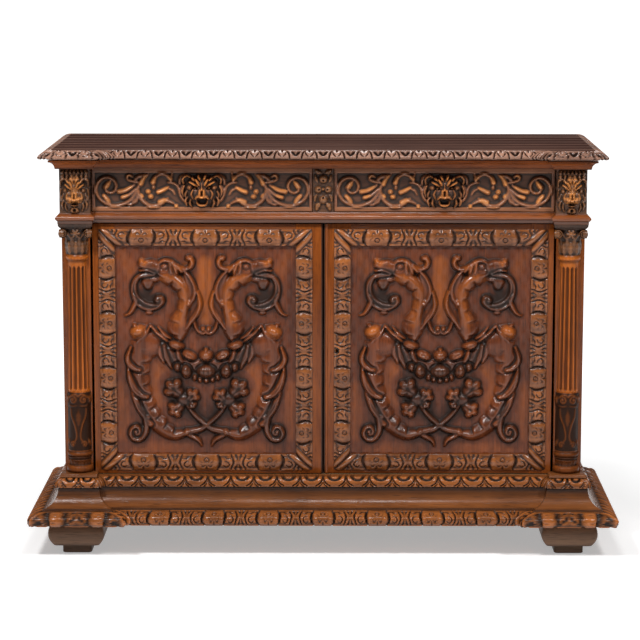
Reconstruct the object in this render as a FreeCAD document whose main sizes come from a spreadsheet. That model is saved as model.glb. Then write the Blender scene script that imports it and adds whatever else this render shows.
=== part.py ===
import FreeCAD, Part
import Sketcher
import math
import os
import re

doc = FreeCAD.newDocument("side_cabinet")

# Driving sizes, all lengths in millimetres and angles in degrees
dims = doc.addObject("Spreadsheet::Sheet", "dims")
driving = {
    "overall_width": 1450,
    "overall_depth": 550,
    "overall_height": 1000,
    "top_thickness": 20,
    "top_projection": 47,
    "top_arris_projection": 17,
    "cornice_height": 26,
    "cornice_projection": 24,
    "frieze_height": 108,
    "waist_height": 26,
    "waist_projection": 12,
    "waist_breakfront": 30,
    "base_band_height": 27,
    "base_band_projection": 22,
    "plinth_height": 81,
    "plinth_projection": 85,
    "plinth_thickness": 50,
    "plinth_back_thickness": 40,
    "ovolo_height": 32,
    "breakfront": 17,
    "block_width": 74,
    "block_projection": 35,
    "foot_block_height": 59,
    "foot_block_half": 70,
    "foot_pad_height": 23,
    "foot_pad_half": 36,
    "foot_inset_front": 40,
    "foot_inset_back": 30,
    "foot_inset_side": 46,
    "post_width": 69,
    "post_depth": 50,
    "rear_post_width": 40,
    "rear_post_depth": 50,
    "side_rail_thickness": 28,
    "side_bottom_rail_height": 100,
    "side_top_rail_height": 180,
    "side_panel_thickness": 10,
    "panel_groove_depth": 8,
    "panel_play": 0.5,
    "back_board_thickness": 14,
    "back_board_gap": 1.5,
    "top_rail_depth": 45,
    "shelf_height": 300,
    "shelf_thickness": 18,
    "shelf_setback": 65,
    "shelf_play": 3,
    "batten_width": 20,
    "batten_height": 20,
    "runner_height": 12,
    "runner_width": 34,
    "guide_height": 20,
    "divider_width": 50,
    "divider_projection": 5,
    "column_radius": 33,
    "shaft_radius": 27,
    "shaft_top_radius": 23,
    "flute_radius": 3.6,
    "pedestal_height": 8,
    "pedestal_width": 91,
    "pedestal_projection": 45,
    "column_foot_height": 54,
    "drum_height": 111,
    "drum_radius": 29.5,
    "ring_height": 37,
    "ring_radius": 31,
    "capital_height": 78,
    "astragal_height": 21,
    "abacus_height": 13,
    "abacus_width": 82,
    "volute_radius": 11,
    "volute_reach": 30,
    "volute_thickness": 12,
    "door_side_gap": 6,
    "door_meeting_gap": 3,
    "door_foot_gap": 2,
    "door_head_gap": 4,
    "door_thickness": 26,
    "right_door_setback": 4,
    "hinge_stile_width": 55,
    "meeting_stile_width": 66,
    "door_top_rail_width": 54,
    "door_bottom_rail_width": 49,
    "tenon_length": 30,
    "tenon_thickness": 8,
    "tenon_shoulder": 10,
    "door_panel_thickness": 12,
    "door_panel_setback": 6,
    "carving_drawn_width": 442.5,
    "carving_drawn_height": 521,
    "carving_rise": 15,
    "carving_root": 6,
    "band_width": 41,
    "band_height": 10,
    "band_edge_height": 3,
    "band_crest_width": 16,
    "pivot_inset": 16,
    "pivot_setback": 9,
    "pivot_radius": 3,
    "pivot_depth": 12,
    "pivot_play": 0.05,
    "lock_height": 66,
    "lock_width": 50,
    "lock_thickness": 14,
    "lock_level": 310,
    "lock_bolt_height": 14,
    "lock_bolt_thickness": 6,
    "lock_bolt_throw": 12,
    "lock_wall": 3,
    "strike_width": 24,
    "leaf_bolt_length": 110,
    "leaf_bolt_width": 10,
    "leaf_bolt_thickness": 6,
    "leaf_bolt_throw": 14,
    "leaf_bolt_setback": 4,
    "leaf_bolt_inset": 30,
    "knob_place": 15,
    "keeper_place": 26,
    "keeper_height": 14,
    "keeper_thickness": 3,
    "drawer_side_gap": 2,
    "drawer_height_gap": 1.5,
    "drawer_front_thickness": 22,
    "drawer_side_thickness": 12,
    "drawer_side_height": 84,
    "drawer_back_gap": 9,
    "drawer_box_inset": 2,
    "drawer_bottom_thickness": 7,
    "drawer_bottom_rise": 6,
    "drawer_groove_depth": 5,
    "mask_width": 82,
    "mask_height": 98,
    "mask_projection": 27,
    "muzzle_width": 40,
    "muzzle_projection": 36,
    "block_mask_width": 64,
    "block_mask_height": 92,
    "block_mask_projection": 24,
}
for row, (alias, number) in enumerate(driving.items(), start=1):
    dims.set(f"A{row}", alias)
    dims.set(f"B{row}", str(number))
    dims.setAlias(f"B{row}", alias)
doc.recompute()

# Levels and planes that follow from the driving sizes
layout = doc.addObject("Spreadsheet::Sheet", "layout")
derived = {
    "back": "overall_depth / 2",
    "case_half": "overall_width / 2 - plinth_projection",
    "block_front": "plinth_projection - overall_depth / 2",
    "block_inner": "case_half - block_width",
    "post_front": "block_front + block_projection",
    "post_inner": "case_half - post_width",
    "post_rear": "post_front + post_depth",
    "case_rear": "back - back_board_thickness",
    "rear_post_front": "case_rear - rear_post_depth",
    "rear_post_inner": "case_half - rear_post_width",
    "side_inner": "case_half - side_rail_thickness",
    "plinth_low": "foot_pad_height + foot_block_height",
    "plinth_high": "plinth_low + plinth_height",
    "floor_high": "plinth_high + base_band_height",
    "top_low": "overall_height - top_thickness",
    "cornice_low": "top_low - cornice_height",
    "frieze_low": "cornice_low - frieze_height",
    "waist_low": "frieze_low - waist_height",
    "column_x": "case_half - block_width / 2",
    "column_low": "floor_high + pedestal_height",
    "capital_low": "waist_low - capital_height",
    "side_panel_low": "plinth_high + side_bottom_rail_height",
    "side_panel_high": "top_low - side_top_rail_height",
    "side_panel_outer": "case_half - side_rail_thickness / 2 + side_panel_thickness / 2",
    "side_panel_inner": "side_panel_outer - side_panel_thickness",
    "leaf_near": "door_meeting_gap / 2",
    "leaf_far": "post_inner - door_side_gap",
    "leaf_low": "floor_high + door_foot_gap",
    "leaf_high": "waist_low - door_head_gap",
    "sight_near": "leaf_near + meeting_stile_width",
    "sight_far": "leaf_far - hinge_stile_width",
    "sight_low": "leaf_low + door_bottom_rail_width",
    "sight_high": "leaf_high - door_top_rail_width",
    "carving_middle": "(sight_near + sight_far) / 2",
    "carving_scale": "(sight_far - sight_near) / carving_drawn_width",
    "carving_scale_up": "(sight_high - sight_low) / carving_drawn_height",
    "left_face": "post_front",
    "right_face": "post_front + right_door_setback",
    "pivot_x": "leaf_far - pivot_inset",
    "shelf_low": "floor_high + shelf_height",
    "shelf_high": "shelf_low + shelf_thickness",
    "lock_low": "leaf_low + lock_level - lock_height / 2",
    "lock_rear": "right_face + door_thickness + lock_thickness",
    "lock_bolt_front": "right_face + door_thickness + lock_wall",
    "lock_bolt_low": "leaf_low + lock_level - lock_bolt_height / 2",
    "left_rear": "left_face + door_thickness",
    "leaf_bolt_rear": "left_rear + leaf_bolt_thickness",
    "leaf_bolt_near": "leaf_near + leaf_bolt_inset",
    "leaf_bolt_far": "leaf_bolt_near + leaf_bolt_width",
    "knob_reach": "leaf_bolt_setback + leaf_bolt_length - knob_place - leaf_bolt_width / 2",
    "keeper_reach": "knob_reach - leaf_bolt_throw - 2",
    "drawer_near": "divider_width / 2 + drawer_side_gap",
    "drawer_far": "block_inner - drawer_side_gap",
    "drawer_low": "frieze_low + drawer_height_gap",
    "drawer_high": "cornice_low - drawer_height_gap",
    "drawer_x": "(drawer_near + drawer_far) / 2",
    "drawer_rear": "post_front + drawer_front_thickness",
    "box_near": "drawer_near + drawer_box_inset",
    "box_far": "drawer_far - drawer_box_inset",
    "box_end": "case_rear - drawer_back_gap",
    "box_high": "frieze_low + drawer_side_height",
    "bottom_low": "frieze_low + drawer_bottom_rise",
    "bottom_high": "bottom_low + drawer_bottom_thickness",
}


def bound(text):
    """Writes each size's name with the sheet that holds it."""
    def full(found):
        word = found.group(0)
        if word in driving:
            return "dims." + word
        if word in derived:
            return "layout." + word
        return word
    return re.sub(r"[a-z_]+", full, text)


for row, (alias, formula) in enumerate(derived.items(), start=1):
    layout.set(f"A{row}", alias)
    layout.set(f"B{row}", "=" + bound(formula))
    layout.setAlias(f"B{row}", alias)
doc.recompute()


def number(text):
    return float(layout.evalExpression(bound(text)))


def across(side, near, far):
    """A span in x on the left or the right of the middle plane."""
    if side == "left":
        return f"-({far})", f"-({near})"
    return near, far


def at(side, distance):
    return f"-({distance})" if side == "left" else distance


def box(name, x, y, z):
    piece = doc.addObject("Part::Box", name)
    for size, axis, (low, high) in (("Length", "x", x), ("Width", "y", y), ("Height", "z", z)):
        piece.setExpression(size, bound(f"({high}) - ({low})"))
        piece.setExpression(f"Placement.Base.{axis}", bound(low))
    return piece


def rod(name, radius, x, y, z):
    """An upright cylinder. z is its lower and upper level."""
    piece = doc.addObject("Part::Cylinder", name)
    piece.setExpression("Radius", bound(radius))
    piece.setExpression("Height", bound(f"({z[1]}) - ({z[0]})"))
    piece.setExpression("Placement.Base.x", bound(x))
    piece.setExpression("Placement.Base.y", bound(y))
    piece.setExpression("Placement.Base.z", bound(z[0]))
    return piece


def ball(name, half_x, half_y, half_z, x, y, z):
    piece = doc.addObject("Part::Ellipsoid", name)
    piece.setExpression("Radius2", bound(half_x))
    piece.setExpression("Radius3", bound(half_y))
    piece.setExpression("Radius1", bound(half_z))
    piece.setExpression("Placement.Base.x", bound(x))
    piece.setExpression("Placement.Base.y", bound(y))
    piece.setExpression("Placement.Base.z", bound(z))
    return piece


def bow(name, ring, tube, x, y, z, start, sweep):
    """A round bar bent into an arc in an upright plane, anticlockwise from its start as seen from the front."""
    piece = doc.addObject("Part::Torus", name)
    piece.setExpression("Radius1", bound(ring))
    piece.setExpression("Radius2", bound(tube))
    piece.Angle3 = sweep
    upright = FreeCAD.Rotation(FreeCAD.Vector(1, 0, 0), 90)
    piece.Placement.Rotation = upright * FreeCAD.Rotation(FreeCAD.Vector(0, 0, 1), start)
    for axis, place in (("x", x), ("y", y), ("z", z)):
        piece.setExpression(f"Placement.Base.{axis}", bound(place))
    return piece


def fuse(name, *pieces):
    piece = doc.addObject("Part::MultiFuse", name)
    piece.Shapes = list(pieces)
    return piece


def cut(name, base, *tools):
    piece = doc.addObject("Part::Cut", name)
    piece.Base = base
    piece.Tool = tools[0] if len(tools) == 1 else fuse(name + "_cuts", *tools)
    return piece


def together(name, *pieces):
    """Several lengths of the same piece, kept as separate solids."""
    piece = doc.addObject("Part::Compound", name)
    piece.Links = list(pieces)
    return piece


def plane(body, role):
    return next(item for item in body.Origin.OriginFeatures if item.Role == role)


def sketch(body, name, role, loops, offset="0"):
    """Closed outlines on an origin plane. A corner is two expressions; a third and fourth make the
    line to the next corner an arc of that radius, to the left (1) or the right (-1) of the way."""
    item = body.newObject("Sketcher::SketchObject", name)
    item.AttachmentSupport = (plane(body, role), [""])
    item.MapMode = "FlatFace"
    item.setExpression("AttachmentOffset.Base.z", bound(offset))
    for corners in loops:
        spots = [FreeCAD.Vector(number(corner[0]), number(corner[1]), 0) for corner in corners]
        starts, ends = [], []
        for step, corner in enumerate(corners):
            first, second = spots[step], spots[(step + 1) % len(spots)]
            if len(corner) == 2:
                line = item.addGeometry(Part.LineSegment(first, second), False)
                starts.append((line, 1))
                ends.append((line, 2))
                continue
            radius = number(corner[2])
            half = (second - first).Length / 2
            along = (second - first).normalize()
            left = FreeCAD.Vector(-along.y, along.x, 0) * corner[3]
            rise = radius - math.sqrt(radius ** 2 - half ** 2)
            arc = item.addGeometry(Part.Arc(first, (first + second) / 2 + left * rise, second), False)
            forward = item.getPoint(arc, 1).distanceToPoint(first) < 1e-4
            starts.append((arc, 1 if forward else 2))
            ends.append((arc, 2 if forward else 1))
            rule = item.addConstraint(Sketcher.Constraint("Radius", arc, radius))
            item.setExpression(f"Constraints[{rule}]", bound(corner[2]))
        for step, corner in enumerate(corners):
            item.addConstraint(Sketcher.Constraint("Coincident", *ends[step - 1], *starts[step]))
            for kind, text in (("DistanceX", corner[0]), ("DistanceY", corner[1])):
                rule = item.addConstraint(Sketcher.Constraint(kind, -1, 1, *starts[step], number(text)))
                item.setExpression(f"Constraints[{rule}]", bound(text))
    return item


def pad(body, name, profile, length, symmetric=False):
    item = body.newObject("PartDesign::Pad", name)
    item.Profile = profile
    item.setExpression("Length", bound(length))
    if symmetric:
        item.SideType = "Symmetric"
    return item


def pocket(body, name, profile):
    """Cuts the outline away to both sides of its plane."""
    item = body.newObject("PartDesign::Pocket", name)
    item.Profile = profile
    item.SideType = "Symmetric"
    item.Type = "ThroughAll"
    return item


def turn(body, name, profile):
    item = body.newObject("PartDesign::Revolution", name)
    item.Profile = profile
    item.ReferenceAxis = (profile, ["V_Axis"])
    item.Angle = 360
    return item


# Profiles of the mouldings: distance out from the corner block, then level. A third and fourth
# value round the way to the next corner.
plinth_profile = [
    ("plinth_projection - 6", "plinth_low"),
    ("plinth_projection", "plinth_low + 6"),
    ("plinth_projection", "plinth_low + ovolo_height * 0.32", "ovolo_height * 1.2", -1),
    ("plinth_projection - 34", "plinth_low + ovolo_height"),
    ("plinth_projection - 40", "plinth_low + ovolo_height"),
    ("plinth_projection - 40", "plinth_low + ovolo_height + 5", "plinth_height * 0.5", 1),
    ("14", "plinth_high - 4"),
    ("14", "plinth_high"),
]
base_profile = [
    ("base_band_projection * 0.55", "plinth_high"),
    ("base_band_projection * 0.55", "plinth_high + base_band_height * 0.15"),
    ("base_band_projection", "plinth_high + base_band_height * 0.15"),
    ("base_band_projection", "plinth_high + base_band_height * 0.35", "base_band_height * 0.8", -1),
    ("base_band_projection * 0.25", "floor_high"),
]
waist_profile = [
    ("waist_projection * 0.45", "waist_low"),
    ("waist_projection * 0.45", "waist_low + waist_height * 0.26"),
    ("waist_projection * 0.6", "waist_low + waist_height * 0.28", "waist_height * 0.28", -1),
    ("waist_projection * 0.6", "waist_low + waist_height * 0.8"),
    ("waist_projection * 0.1", "frieze_low"),
]
cornice_profile = [
    ("cornice_projection * 0.35", "cornice_low"),
    ("cornice_projection * 0.4", "cornice_low + 1", "cornice_height * 0.8", 1),
    ("cornice_projection * 0.88", "cornice_low + cornice_height * 0.66"),
    ("cornice_projection", "cornice_low + cornice_height * 0.66"),
    ("cornice_projection", "cornice_low + cornice_height * 0.84"),
    ("cornice_projection * 0.5", "cornice_low + cornice_height * 0.84"),
    ("cornice_projection * 0.5", "top_low"),
]
top_profile = [
    ("top_projection - 3", "top_low"),
    ("top_projection", "top_low + 3"),
    ("top_projection", "top_low + top_thickness * 0.4", "top_thickness * 2.2", -1),
    ("top_arris_projection", "overall_height"),
]


def facing(profile, front, inner):
    """The moulding's outline as seen along its length at the front, closed at its inner plane."""
    flip = [(f"({front}) - ({p[0]})", p[1], *([p[2], -p[3]] if len(p) > 2 else [])) for p in profile]
    return flip + [(inner, profile[-1][1]), (inner, profile[0][1])]


def between(profile):
    """The gap between the two corner blocks, with the profile returned along both its ends."""
    right = [(f"block_inner - ({p[0]})", p[1], *([p[2], -p[3]] if len(p) > 2 else [])) for p in profile]
    left = []
    for step in range(len(profile) - 1, -1, -1):
        before = profile[step - 1] if step else ()
        rounded = [before[2], -before[3]] if len(before) > 2 else []
        left.append((f"({profile[step][0]}) - block_inner", profile[step][1], *rounded))
    return right + left


def front_length(name, profile, reach, step, inner, mitre_inner):
    """A length along the front that breaks forward at both corners and is mitred at its ends."""
    body = doc.addObject("PartDesign::Body", name)
    outline = sketch(body, name + "_block_profile", "YZ_Plane", [facing(profile, "block_front", inner)])
    pad(body, name + "_blocks", outline, f"2 * (case_half + {reach})", True)
    gap = sketch(body, name + "_gap", "XZ_Plane", [between(profile)])
    pocket(body, name + "_between", gap)
    middle = facing(profile, f"block_front + {step}", inner)
    outline = sketch(body, name + "_main_profile", "YZ_Plane", [middle])
    pad(body, name + "_main", outline, "2 * case_half - block_width", True)
    ends = []
    for side in ("left", "right"):
        ends.append([
            (at(side, "case_half + 200"), "block_front - 200"),
            (at(side, f"case_half - ({mitre_inner})"), f"block_front + {mitre_inner}"),
            (at(side, f"case_half - ({mitre_inner})"), "back"),
            (at(side, "case_half + 200"), "back"),
        ])
    pocket(body, name + "_mitres", sketch(body, name + "_mitre_lines", "XY_Plane", ends))
    return body


def side_length(name, side, profile, reach, mitre_inner):
    """A length along one side, mitred to the front length."""
    body = doc.addObject("PartDesign::Body", name)
    turned = 1 if side == "left" else -1
    outline = []
    for p in profile:
        rounded = [p[2], -p[3] * turned] if len(p) > 2 else []
        outline.append((at(side, f"case_half + ({p[0]})"), p[1], *rounded))
    outline.append((at(side, f"case_half - ({mitre_inner})"), profile[-1][1]))
    outline.append((at(side, f"case_half - ({mitre_inner})"), profile[0][1]))
    start = sketch(body, name + "_profile", "XZ_Plane", [outline], "-back")
    pad(body, name + "_length", start, f"back - block_front + {reach}")
    mitre = [
        (at(side, "case_half + 200"), "block_front - 200"),
        (at(side, f"case_half - ({mitre_inner})"), f"block_front + {mitre_inner}"),
        (at(side, f"case_half - ({mitre_inner})"), "block_front - 200"),
    ]
    pocket(body, name + "_mitre", sketch(body, name + "_mitre_line", "XY_Plane", [mitre]))
    return body


pieces = []
sides = ("left", "right")

# Block feet, square in plan: a block with rounded sides on a smaller pad, moulded alike on all four sides
shoulder = "foot_block_half - foot_block_height * 0.26"
crown = "foot_block_half - foot_block_height * 0.13"
foot_outline = [
    ("-foot_pad_half", "0"),
    ("foot_pad_half", "0"),
    ("foot_pad_half", "foot_pad_height"),
    (shoulder, "foot_pad_height", "foot_block_height * 0.75", -1),
    (crown, "plinth_low"),
    (f"-({crown})", "plinth_low", "foot_block_height * 0.75", -1),
    (f"-({shoulder})", "foot_pad_height"),
    ("-foot_pad_half", "foot_pad_height"),
]
for side in sides:
    for row, plan in (("front", "foot_inset_front + foot_block_half - back"),
                      ("rear", "back - foot_inset_back - foot_block_half")):
        name = f"foot_{row}_{side}"
        shapes = []
        for way, role in (("across", "XZ_Plane"), ("along", "YZ_Plane")):
            body = doc.addObject("PartDesign::Body", f"{name}_{way}")
            outline = sketch(body, f"{name}_{way}_profile", role, [foot_outline])
            pad(body, f"{name}_{way}_length", outline, "2 * foot_block_half + 2", symmetric=True)
            body.setExpression("Placement.Base.x",
                               bound(at(side, "overall_width / 2 - foot_inset_side - foot_block_half")))
            body.setExpression("Placement.Base.y", bound(plan))
            shapes.append(body)
        foot = doc.addObject("Part::MultiCommon", name)
        foot.Shapes = shapes
        pieces.append(foot)

# Plinth: moulded front and sides mitred together, and a plain back
front = front_length("plinth_front", plinth_profile, "plinth_projection", "breakfront",
                     "block_front + plinth_thickness", "plinth_thickness")
pieces.append(front)
for side in sides:
    pieces.append(side_length(f"plinth_{side}", side, plinth_profile, "plinth_projection",
                              "plinth_thickness"))
pieces.append(box("plinth_back", ("plinth_thickness - case_half", "case_half - plinth_thickness"),
                  ("back - plinth_back_thickness", "back"), ("plinth_low", "plinth_high")))

# Carved base moulding round the foot of the case, and the blocks the columns stand on
pieces.append(together(
    "base_moulding",
    front_length("base_moulding_front", base_profile, "base_band_projection", "breakfront", "post_front",
                 "0"),
    side_length("base_moulding_left", "left", base_profile, "base_band_projection", "0"),
    side_length("base_moulding_right", "right", base_profile, "base_band_projection", "0")))
pedestals = []
for side in sides:
    pedestals.append(box(f"pedestal_{side}",
                         (f"{at(side, 'column_x')} - pedestal_width / 2",
                          f"{at(side, 'column_x')} + pedestal_width / 2"),
                         ("post_front - pedestal_projection", "post_front"), ("floor_high", "column_low")))
pieces.append(together("pedestal_blocks", *pedestals))

# Posts, side frames and side panels
for side in sides:
    slot = box(f"side_groove_{side}",
               across(side, "side_panel_inner - panel_play / 2", "side_panel_outer + panel_play / 2"),
               ("post_rear - panel_groove_depth - panel_play",
                "rear_post_front + panel_groove_depth + panel_play"),
               ("side_panel_low - panel_groove_depth - panel_play",
                "side_panel_high + panel_groove_depth + panel_play"))
    front_post = box(f"front_post_{side}", across(side, "post_inner", "case_half"),
                     ("post_front", "post_rear"), ("plinth_high", "top_low"))
    pieces.append(cut(f"post_{side}", front_post, slot))
    back_post = box(f"back_post_{side}", across(side, "rear_post_inner", "case_half"),
                    ("rear_post_front", "case_rear"), ("plinth_high", "top_low"))
    pieces.append(cut(f"rear_post_{side}", back_post, slot))
    rails = []
    for level, low, high in (("bottom", "plinth_high", "side_panel_low"),
                             ("top", "side_panel_high", "top_low")):
        blank = box(f"side_{level}_rail_blank_{side}", across(side, "side_inner", "case_half"),
                    ("post_rear", "rear_post_front"), (low, high))
        rails.append(cut(f"side_{level}_rail_{side}", blank, slot))
    pieces.append(together(f"side_rails_{side}", *rails))
    pieces.append(box(f"side_panel_{side}", across(side, "side_panel_inner", "side_panel_outer"),
                      ("post_rear - panel_groove_depth", "rear_post_front + panel_groove_depth"),
                      ("side_panel_low - panel_groove_depth", "side_panel_high + panel_groove_depth")))

# Back boards, nailed to the rear posts
boards = []
for count in range(6):
    wide = "(2 * case_half - 5 * back_board_gap) / 6"
    low = f"{count} * ({wide} + back_board_gap) - case_half"
    boards.append(box(f"back_board_{'abcdef'[count]}", (low, f"{low} + {wide}"),
                      ("case_rear", "back"), ("plinth_high", "top_low")))
pieces.append(together("back_boards", *boards))

# Cupboard floor, notched round the posts, with the lower pivot bores and the bolt hole
floor = box("floor_board", ("-side_inner", "side_inner"), ("post_front", "case_rear"),
            ("plinth_high", "floor_high"))
notches = []
for side in sides:
    notches.append(box(f"floor_notch_front_{side}", across(side, "post_inner", "case_half"),
                       ("post_front - 1", "post_rear"), ("plinth_high - 1", "floor_high + 1")))
    notches.append(box(f"floor_notch_rear_{side}", across(side, "rear_post_inner", "case_half"),
                       ("rear_post_front", "case_rear + 1"), ("plinth_high - 1", "floor_high + 1")))
    notches.append(rod(f"floor_bore_{side}", "pivot_radius + pivot_play", at(side, "pivot_x"),
                       f"{side}_face + pivot_setback", ("floor_high - pivot_depth", "floor_high + 1")))
notches.append(box("floor_bolt_hole", ("-(leaf_bolt_far + panel_play)", "-(leaf_bolt_near - panel_play)"),
                   ("left_rear - panel_play", "leaf_bolt_rear + panel_play"),
                   ("floor_high - leaf_bolt_throw", "floor_high + 1")))
pieces.append(cut("cupboard_floor", floor, *notches))

# Shelf on its battens
pieces.append(box("shelf", ("shelf_play - rear_post_inner", "rear_post_inner - shelf_play"),
                  ("post_front + shelf_setback", "case_rear"), ("shelf_low", "shelf_high")))
battens = []
for side in sides:
    battens.append(box(f"shelf_batten_{side}",
                       across(side, "side_panel_inner - batten_width", "side_panel_inner"),
                       ("post_rear", "rear_post_front"), ("shelf_low - batten_height", "shelf_low")))
pieces.append(together("shelf_battens", *battens))

# Rail between cupboard and drawers, with the upper pivot bores and the bolt hole
rail = box("drawer_rail_blank", ("-post_inner", "post_inner"), ("post_front", "post_rear"),
           ("waist_low", "frieze_low"))
holes = []
for side in sides:
    holes.append(rod(f"rail_bore_{side}", "pivot_radius + pivot_play", at(side, "pivot_x"),
                     f"{side}_face + pivot_setback", ("waist_low - 1", "waist_low + pivot_depth")))
holes.append(box("rail_bolt_hole", ("-(leaf_bolt_far + panel_play)", "-(leaf_bolt_near - panel_play)"),
                 ("left_rear - panel_play", "leaf_bolt_rear + panel_play"),
                 ("waist_low - 1", "waist_low + leaf_bolt_throw")))
pieces.append(cut("drawer_rail", rail, *holes))
pieces.append(together(
    "waist_moulding",
    front_length("waist_moulding_front", waist_profile, "waist_projection", "waist_breakfront",
                 "post_front", "0"),
    side_length("waist_moulding_left", "left", waist_profile, "waist_projection", "0"),
    side_length("waist_moulding_right", "right", waist_profile, "waist_projection", "0")))

# Runners under the drawer sides, with guides that keep the drawers straight
runners = []
for side in sides:
    runners.append(fuse(
        f"drawer_runner_{side}",
        box(f"runner_strip_{side}", across(side, "box_far - runner_width", "rear_post_inner"),
            ("post_rear", "rear_post_front"), ("frieze_low - runner_height", "frieze_low")),
        box(f"runner_guide_{side}", across(side, "box_far + 1", "rear_post_inner"),
            ("post_rear", "rear_post_front"), ("frieze_low", "frieze_low + guide_height"))))
runners.append(fuse(
    "drawer_runner_middle",
    box("runner_strip_middle", ("-box_near - runner_width", "box_near + runner_width"),
        ("post_rear", "case_rear"), ("frieze_low - runner_height", "frieze_low")),
    box("runner_guide_middle", ("1 - box_near", "box_near - 1"),
        ("post_rear", "case_rear"), ("frieze_low", "frieze_low + guide_height"))))
pieces.append(together("drawer_runners", *runners))

# Block between the drawers, and the corner blocks carved with a mask
pieces.append(box("drawer_divider", ("-divider_width / 2", "divider_width / 2"),
                  ("post_front - divider_projection", "post_rear"), ("frieze_low", "cornice_low")))
for side in sides:
    level = "(frieze_low + cornice_low) / 2"
    block = box(f"frieze_block_body_{side}", across(side, "block_inner", "case_half"),
                ("block_front", "post_front"), ("frieze_low", "cornice_low"))
    face = ball(f"frieze_mask_ball_{side}", "block_mask_width / 2", "block_mask_projection",
                "block_mask_height / 2",
                at(side, "column_x"), "block_front", level)
    behind = box(f"frieze_mask_back_{side}", across(side, "block_inner - 20", "case_half + 20"),
                 ("post_front", "post_front + 60"), ("frieze_low", "cornice_low"))
    pieces.append(cut(f"frieze_block_{side}", fuse(f"frieze_block_joined_{side}", block, face), behind))

# Cornice, the rail behind it, and the top
pieces.append(box("top_rail", ("-post_inner", "post_inner"), ("post_front", "post_front + top_rail_depth"),
                  ("cornice_low", "top_low")))
pieces.append(together(
    "cornice",
    front_length("cornice_front", cornice_profile, "cornice_projection", "breakfront", "post_front", "0"),
    side_length("cornice_left", "left", cornice_profile, "cornice_projection", "0"),
    side_length("cornice_right", "right", cornice_profile, "cornice_projection", "0")))
top = doc.addObject("PartDesign::Body", "top_board")
outline = sketch(top, "top_block_profile", "YZ_Plane", [facing(top_profile, "block_front", "post_rear")])
pad(top, "top_blocks", outline, "2 * (case_half + top_projection)", True)
ends = [between(top_profile)]
for side in sides:
    turned = 1 if side == "left" else -1
    shape = []
    for p in top_profile:
        rounded = [p[2], -p[3] * turned] if len(p) > 2 else []
        shape.append((at(side, f"case_half + ({p[0]})"), p[1], *rounded))
    shape.append((at(side, "case_half + top_projection + 10"), "overall_height"))
    shape.append((at(side, "case_half + top_projection + 10"), "top_low"))
    ends.append(shape)
pocket(top, "top_returns", sketch(top, "top_return_lines", "XZ_Plane", ends))
outline = sketch(top, "top_main_profile", "YZ_Plane",
                 [facing(top_profile, "block_front + breakfront", "post_rear")])
pad(top, "top_main", outline, "2 * case_half - block_width", True)
right = [(f"case_half + ({p[0]})", p[1], *p[2:]) for p in top_profile]
left = []
for step in range(len(top_profile) - 1, -1, -1):
    before = top_profile[step - 1] if step else ()
    left.append((f"-case_half - ({top_profile[step][0]})", top_profile[step][1], *before[2:]))
outline = sketch(top, "top_across", "XZ_Plane", [right + left], "-back")
pad(top, "top_field", outline, "back - post_front")
pieces.append(top)

# Half columns: a turned foot, a drum, a carved ring, and a fluted shaft
for side in sides:
    name = f"column_{side}"
    body = doc.addObject("PartDesign::Body", name)
    drum_low = "column_low + column_foot_height"
    ring_low = f"{drum_low} + drum_height"
    shaft_low = f"{ring_low} + ring_height"
    neck = "capital_low - astragal_height"
    outline = sketch(body, name + "_profile", "XZ_Plane", [[
        ("0", "column_low"),
        ("column_radius - 4", "column_low"),
        ("column_radius - 4", "column_low + 2", "column_foot_height * 0.24", -1),
        ("column_radius - 4", "column_low + column_foot_height * 0.4"),
        ("drum_radius - 4", "column_low + column_foot_height * 0.45"),
        ("drum_radius - 4", "column_low + column_foot_height * 0.72"),
        ("drum_radius", "column_low + column_foot_height * 0.75"),
        ("drum_radius", ring_low),
        ("ring_radius", f"{ring_low} + 2"),
        ("ring_radius", f"{shaft_low} - 2"),
        ("shaft_radius", shaft_low),
        ("shaft_top_radius", neck),
        ("shaft_top_radius", f"{neck} + astragal_height * 0.55"),
        ("shaft_top_radius + 4", f"{neck} + astragal_height * 0.6"),
        ("shaft_top_radius + 4", "capital_low"),
        ("0", "capital_low"),
    ]])
    turn(body, name + "_turned", outline)
    seat = sketch(body, name + "_flute_seat", "XY_Plane", [[
        ("shaft_radius - flute_radius * 0.6", "-flute_radius * 0.7", "flute_radius * 1.6", 1),
        ("shaft_radius + 4", "-flute_radius * 0.7"),
        ("shaft_radius + 4", "flute_radius * 0.7"),
        ("shaft_radius - flute_radius * 0.6", "flute_radius * 0.7"),
    ]], f"{shaft_low} + 8")
    flute = body.newObject("PartDesign::Pocket", name + "_flute")
    flute.Profile = seat
    flute.Reversed = True
    flute.setExpression("Length", bound(f"{neck} - ({shaft_low}) - 16"))
    flutes = body.newObject("PartDesign::PolarPattern", name + "_flutes")
    flutes.Originals = [flute]
    flutes.Axis = (outline, ["V_Axis"])
    flutes.Angle = 360
    flutes.Occurrences = 16
    body.Tip = flutes
    halving = sketch(body, name + "_back_plane", "XY_Plane", [[
        ("-60", "0"), ("60", "0"), ("60", "60"), ("-60", "60")]])
    body.Tip = pocket(body, name + "_half", halving)
    body.setExpression("Placement.Base.x", bound(at(side, "column_x")))
    body.setExpression("Placement.Base.y", bound("post_front"))
    pieces.append(body)

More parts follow.
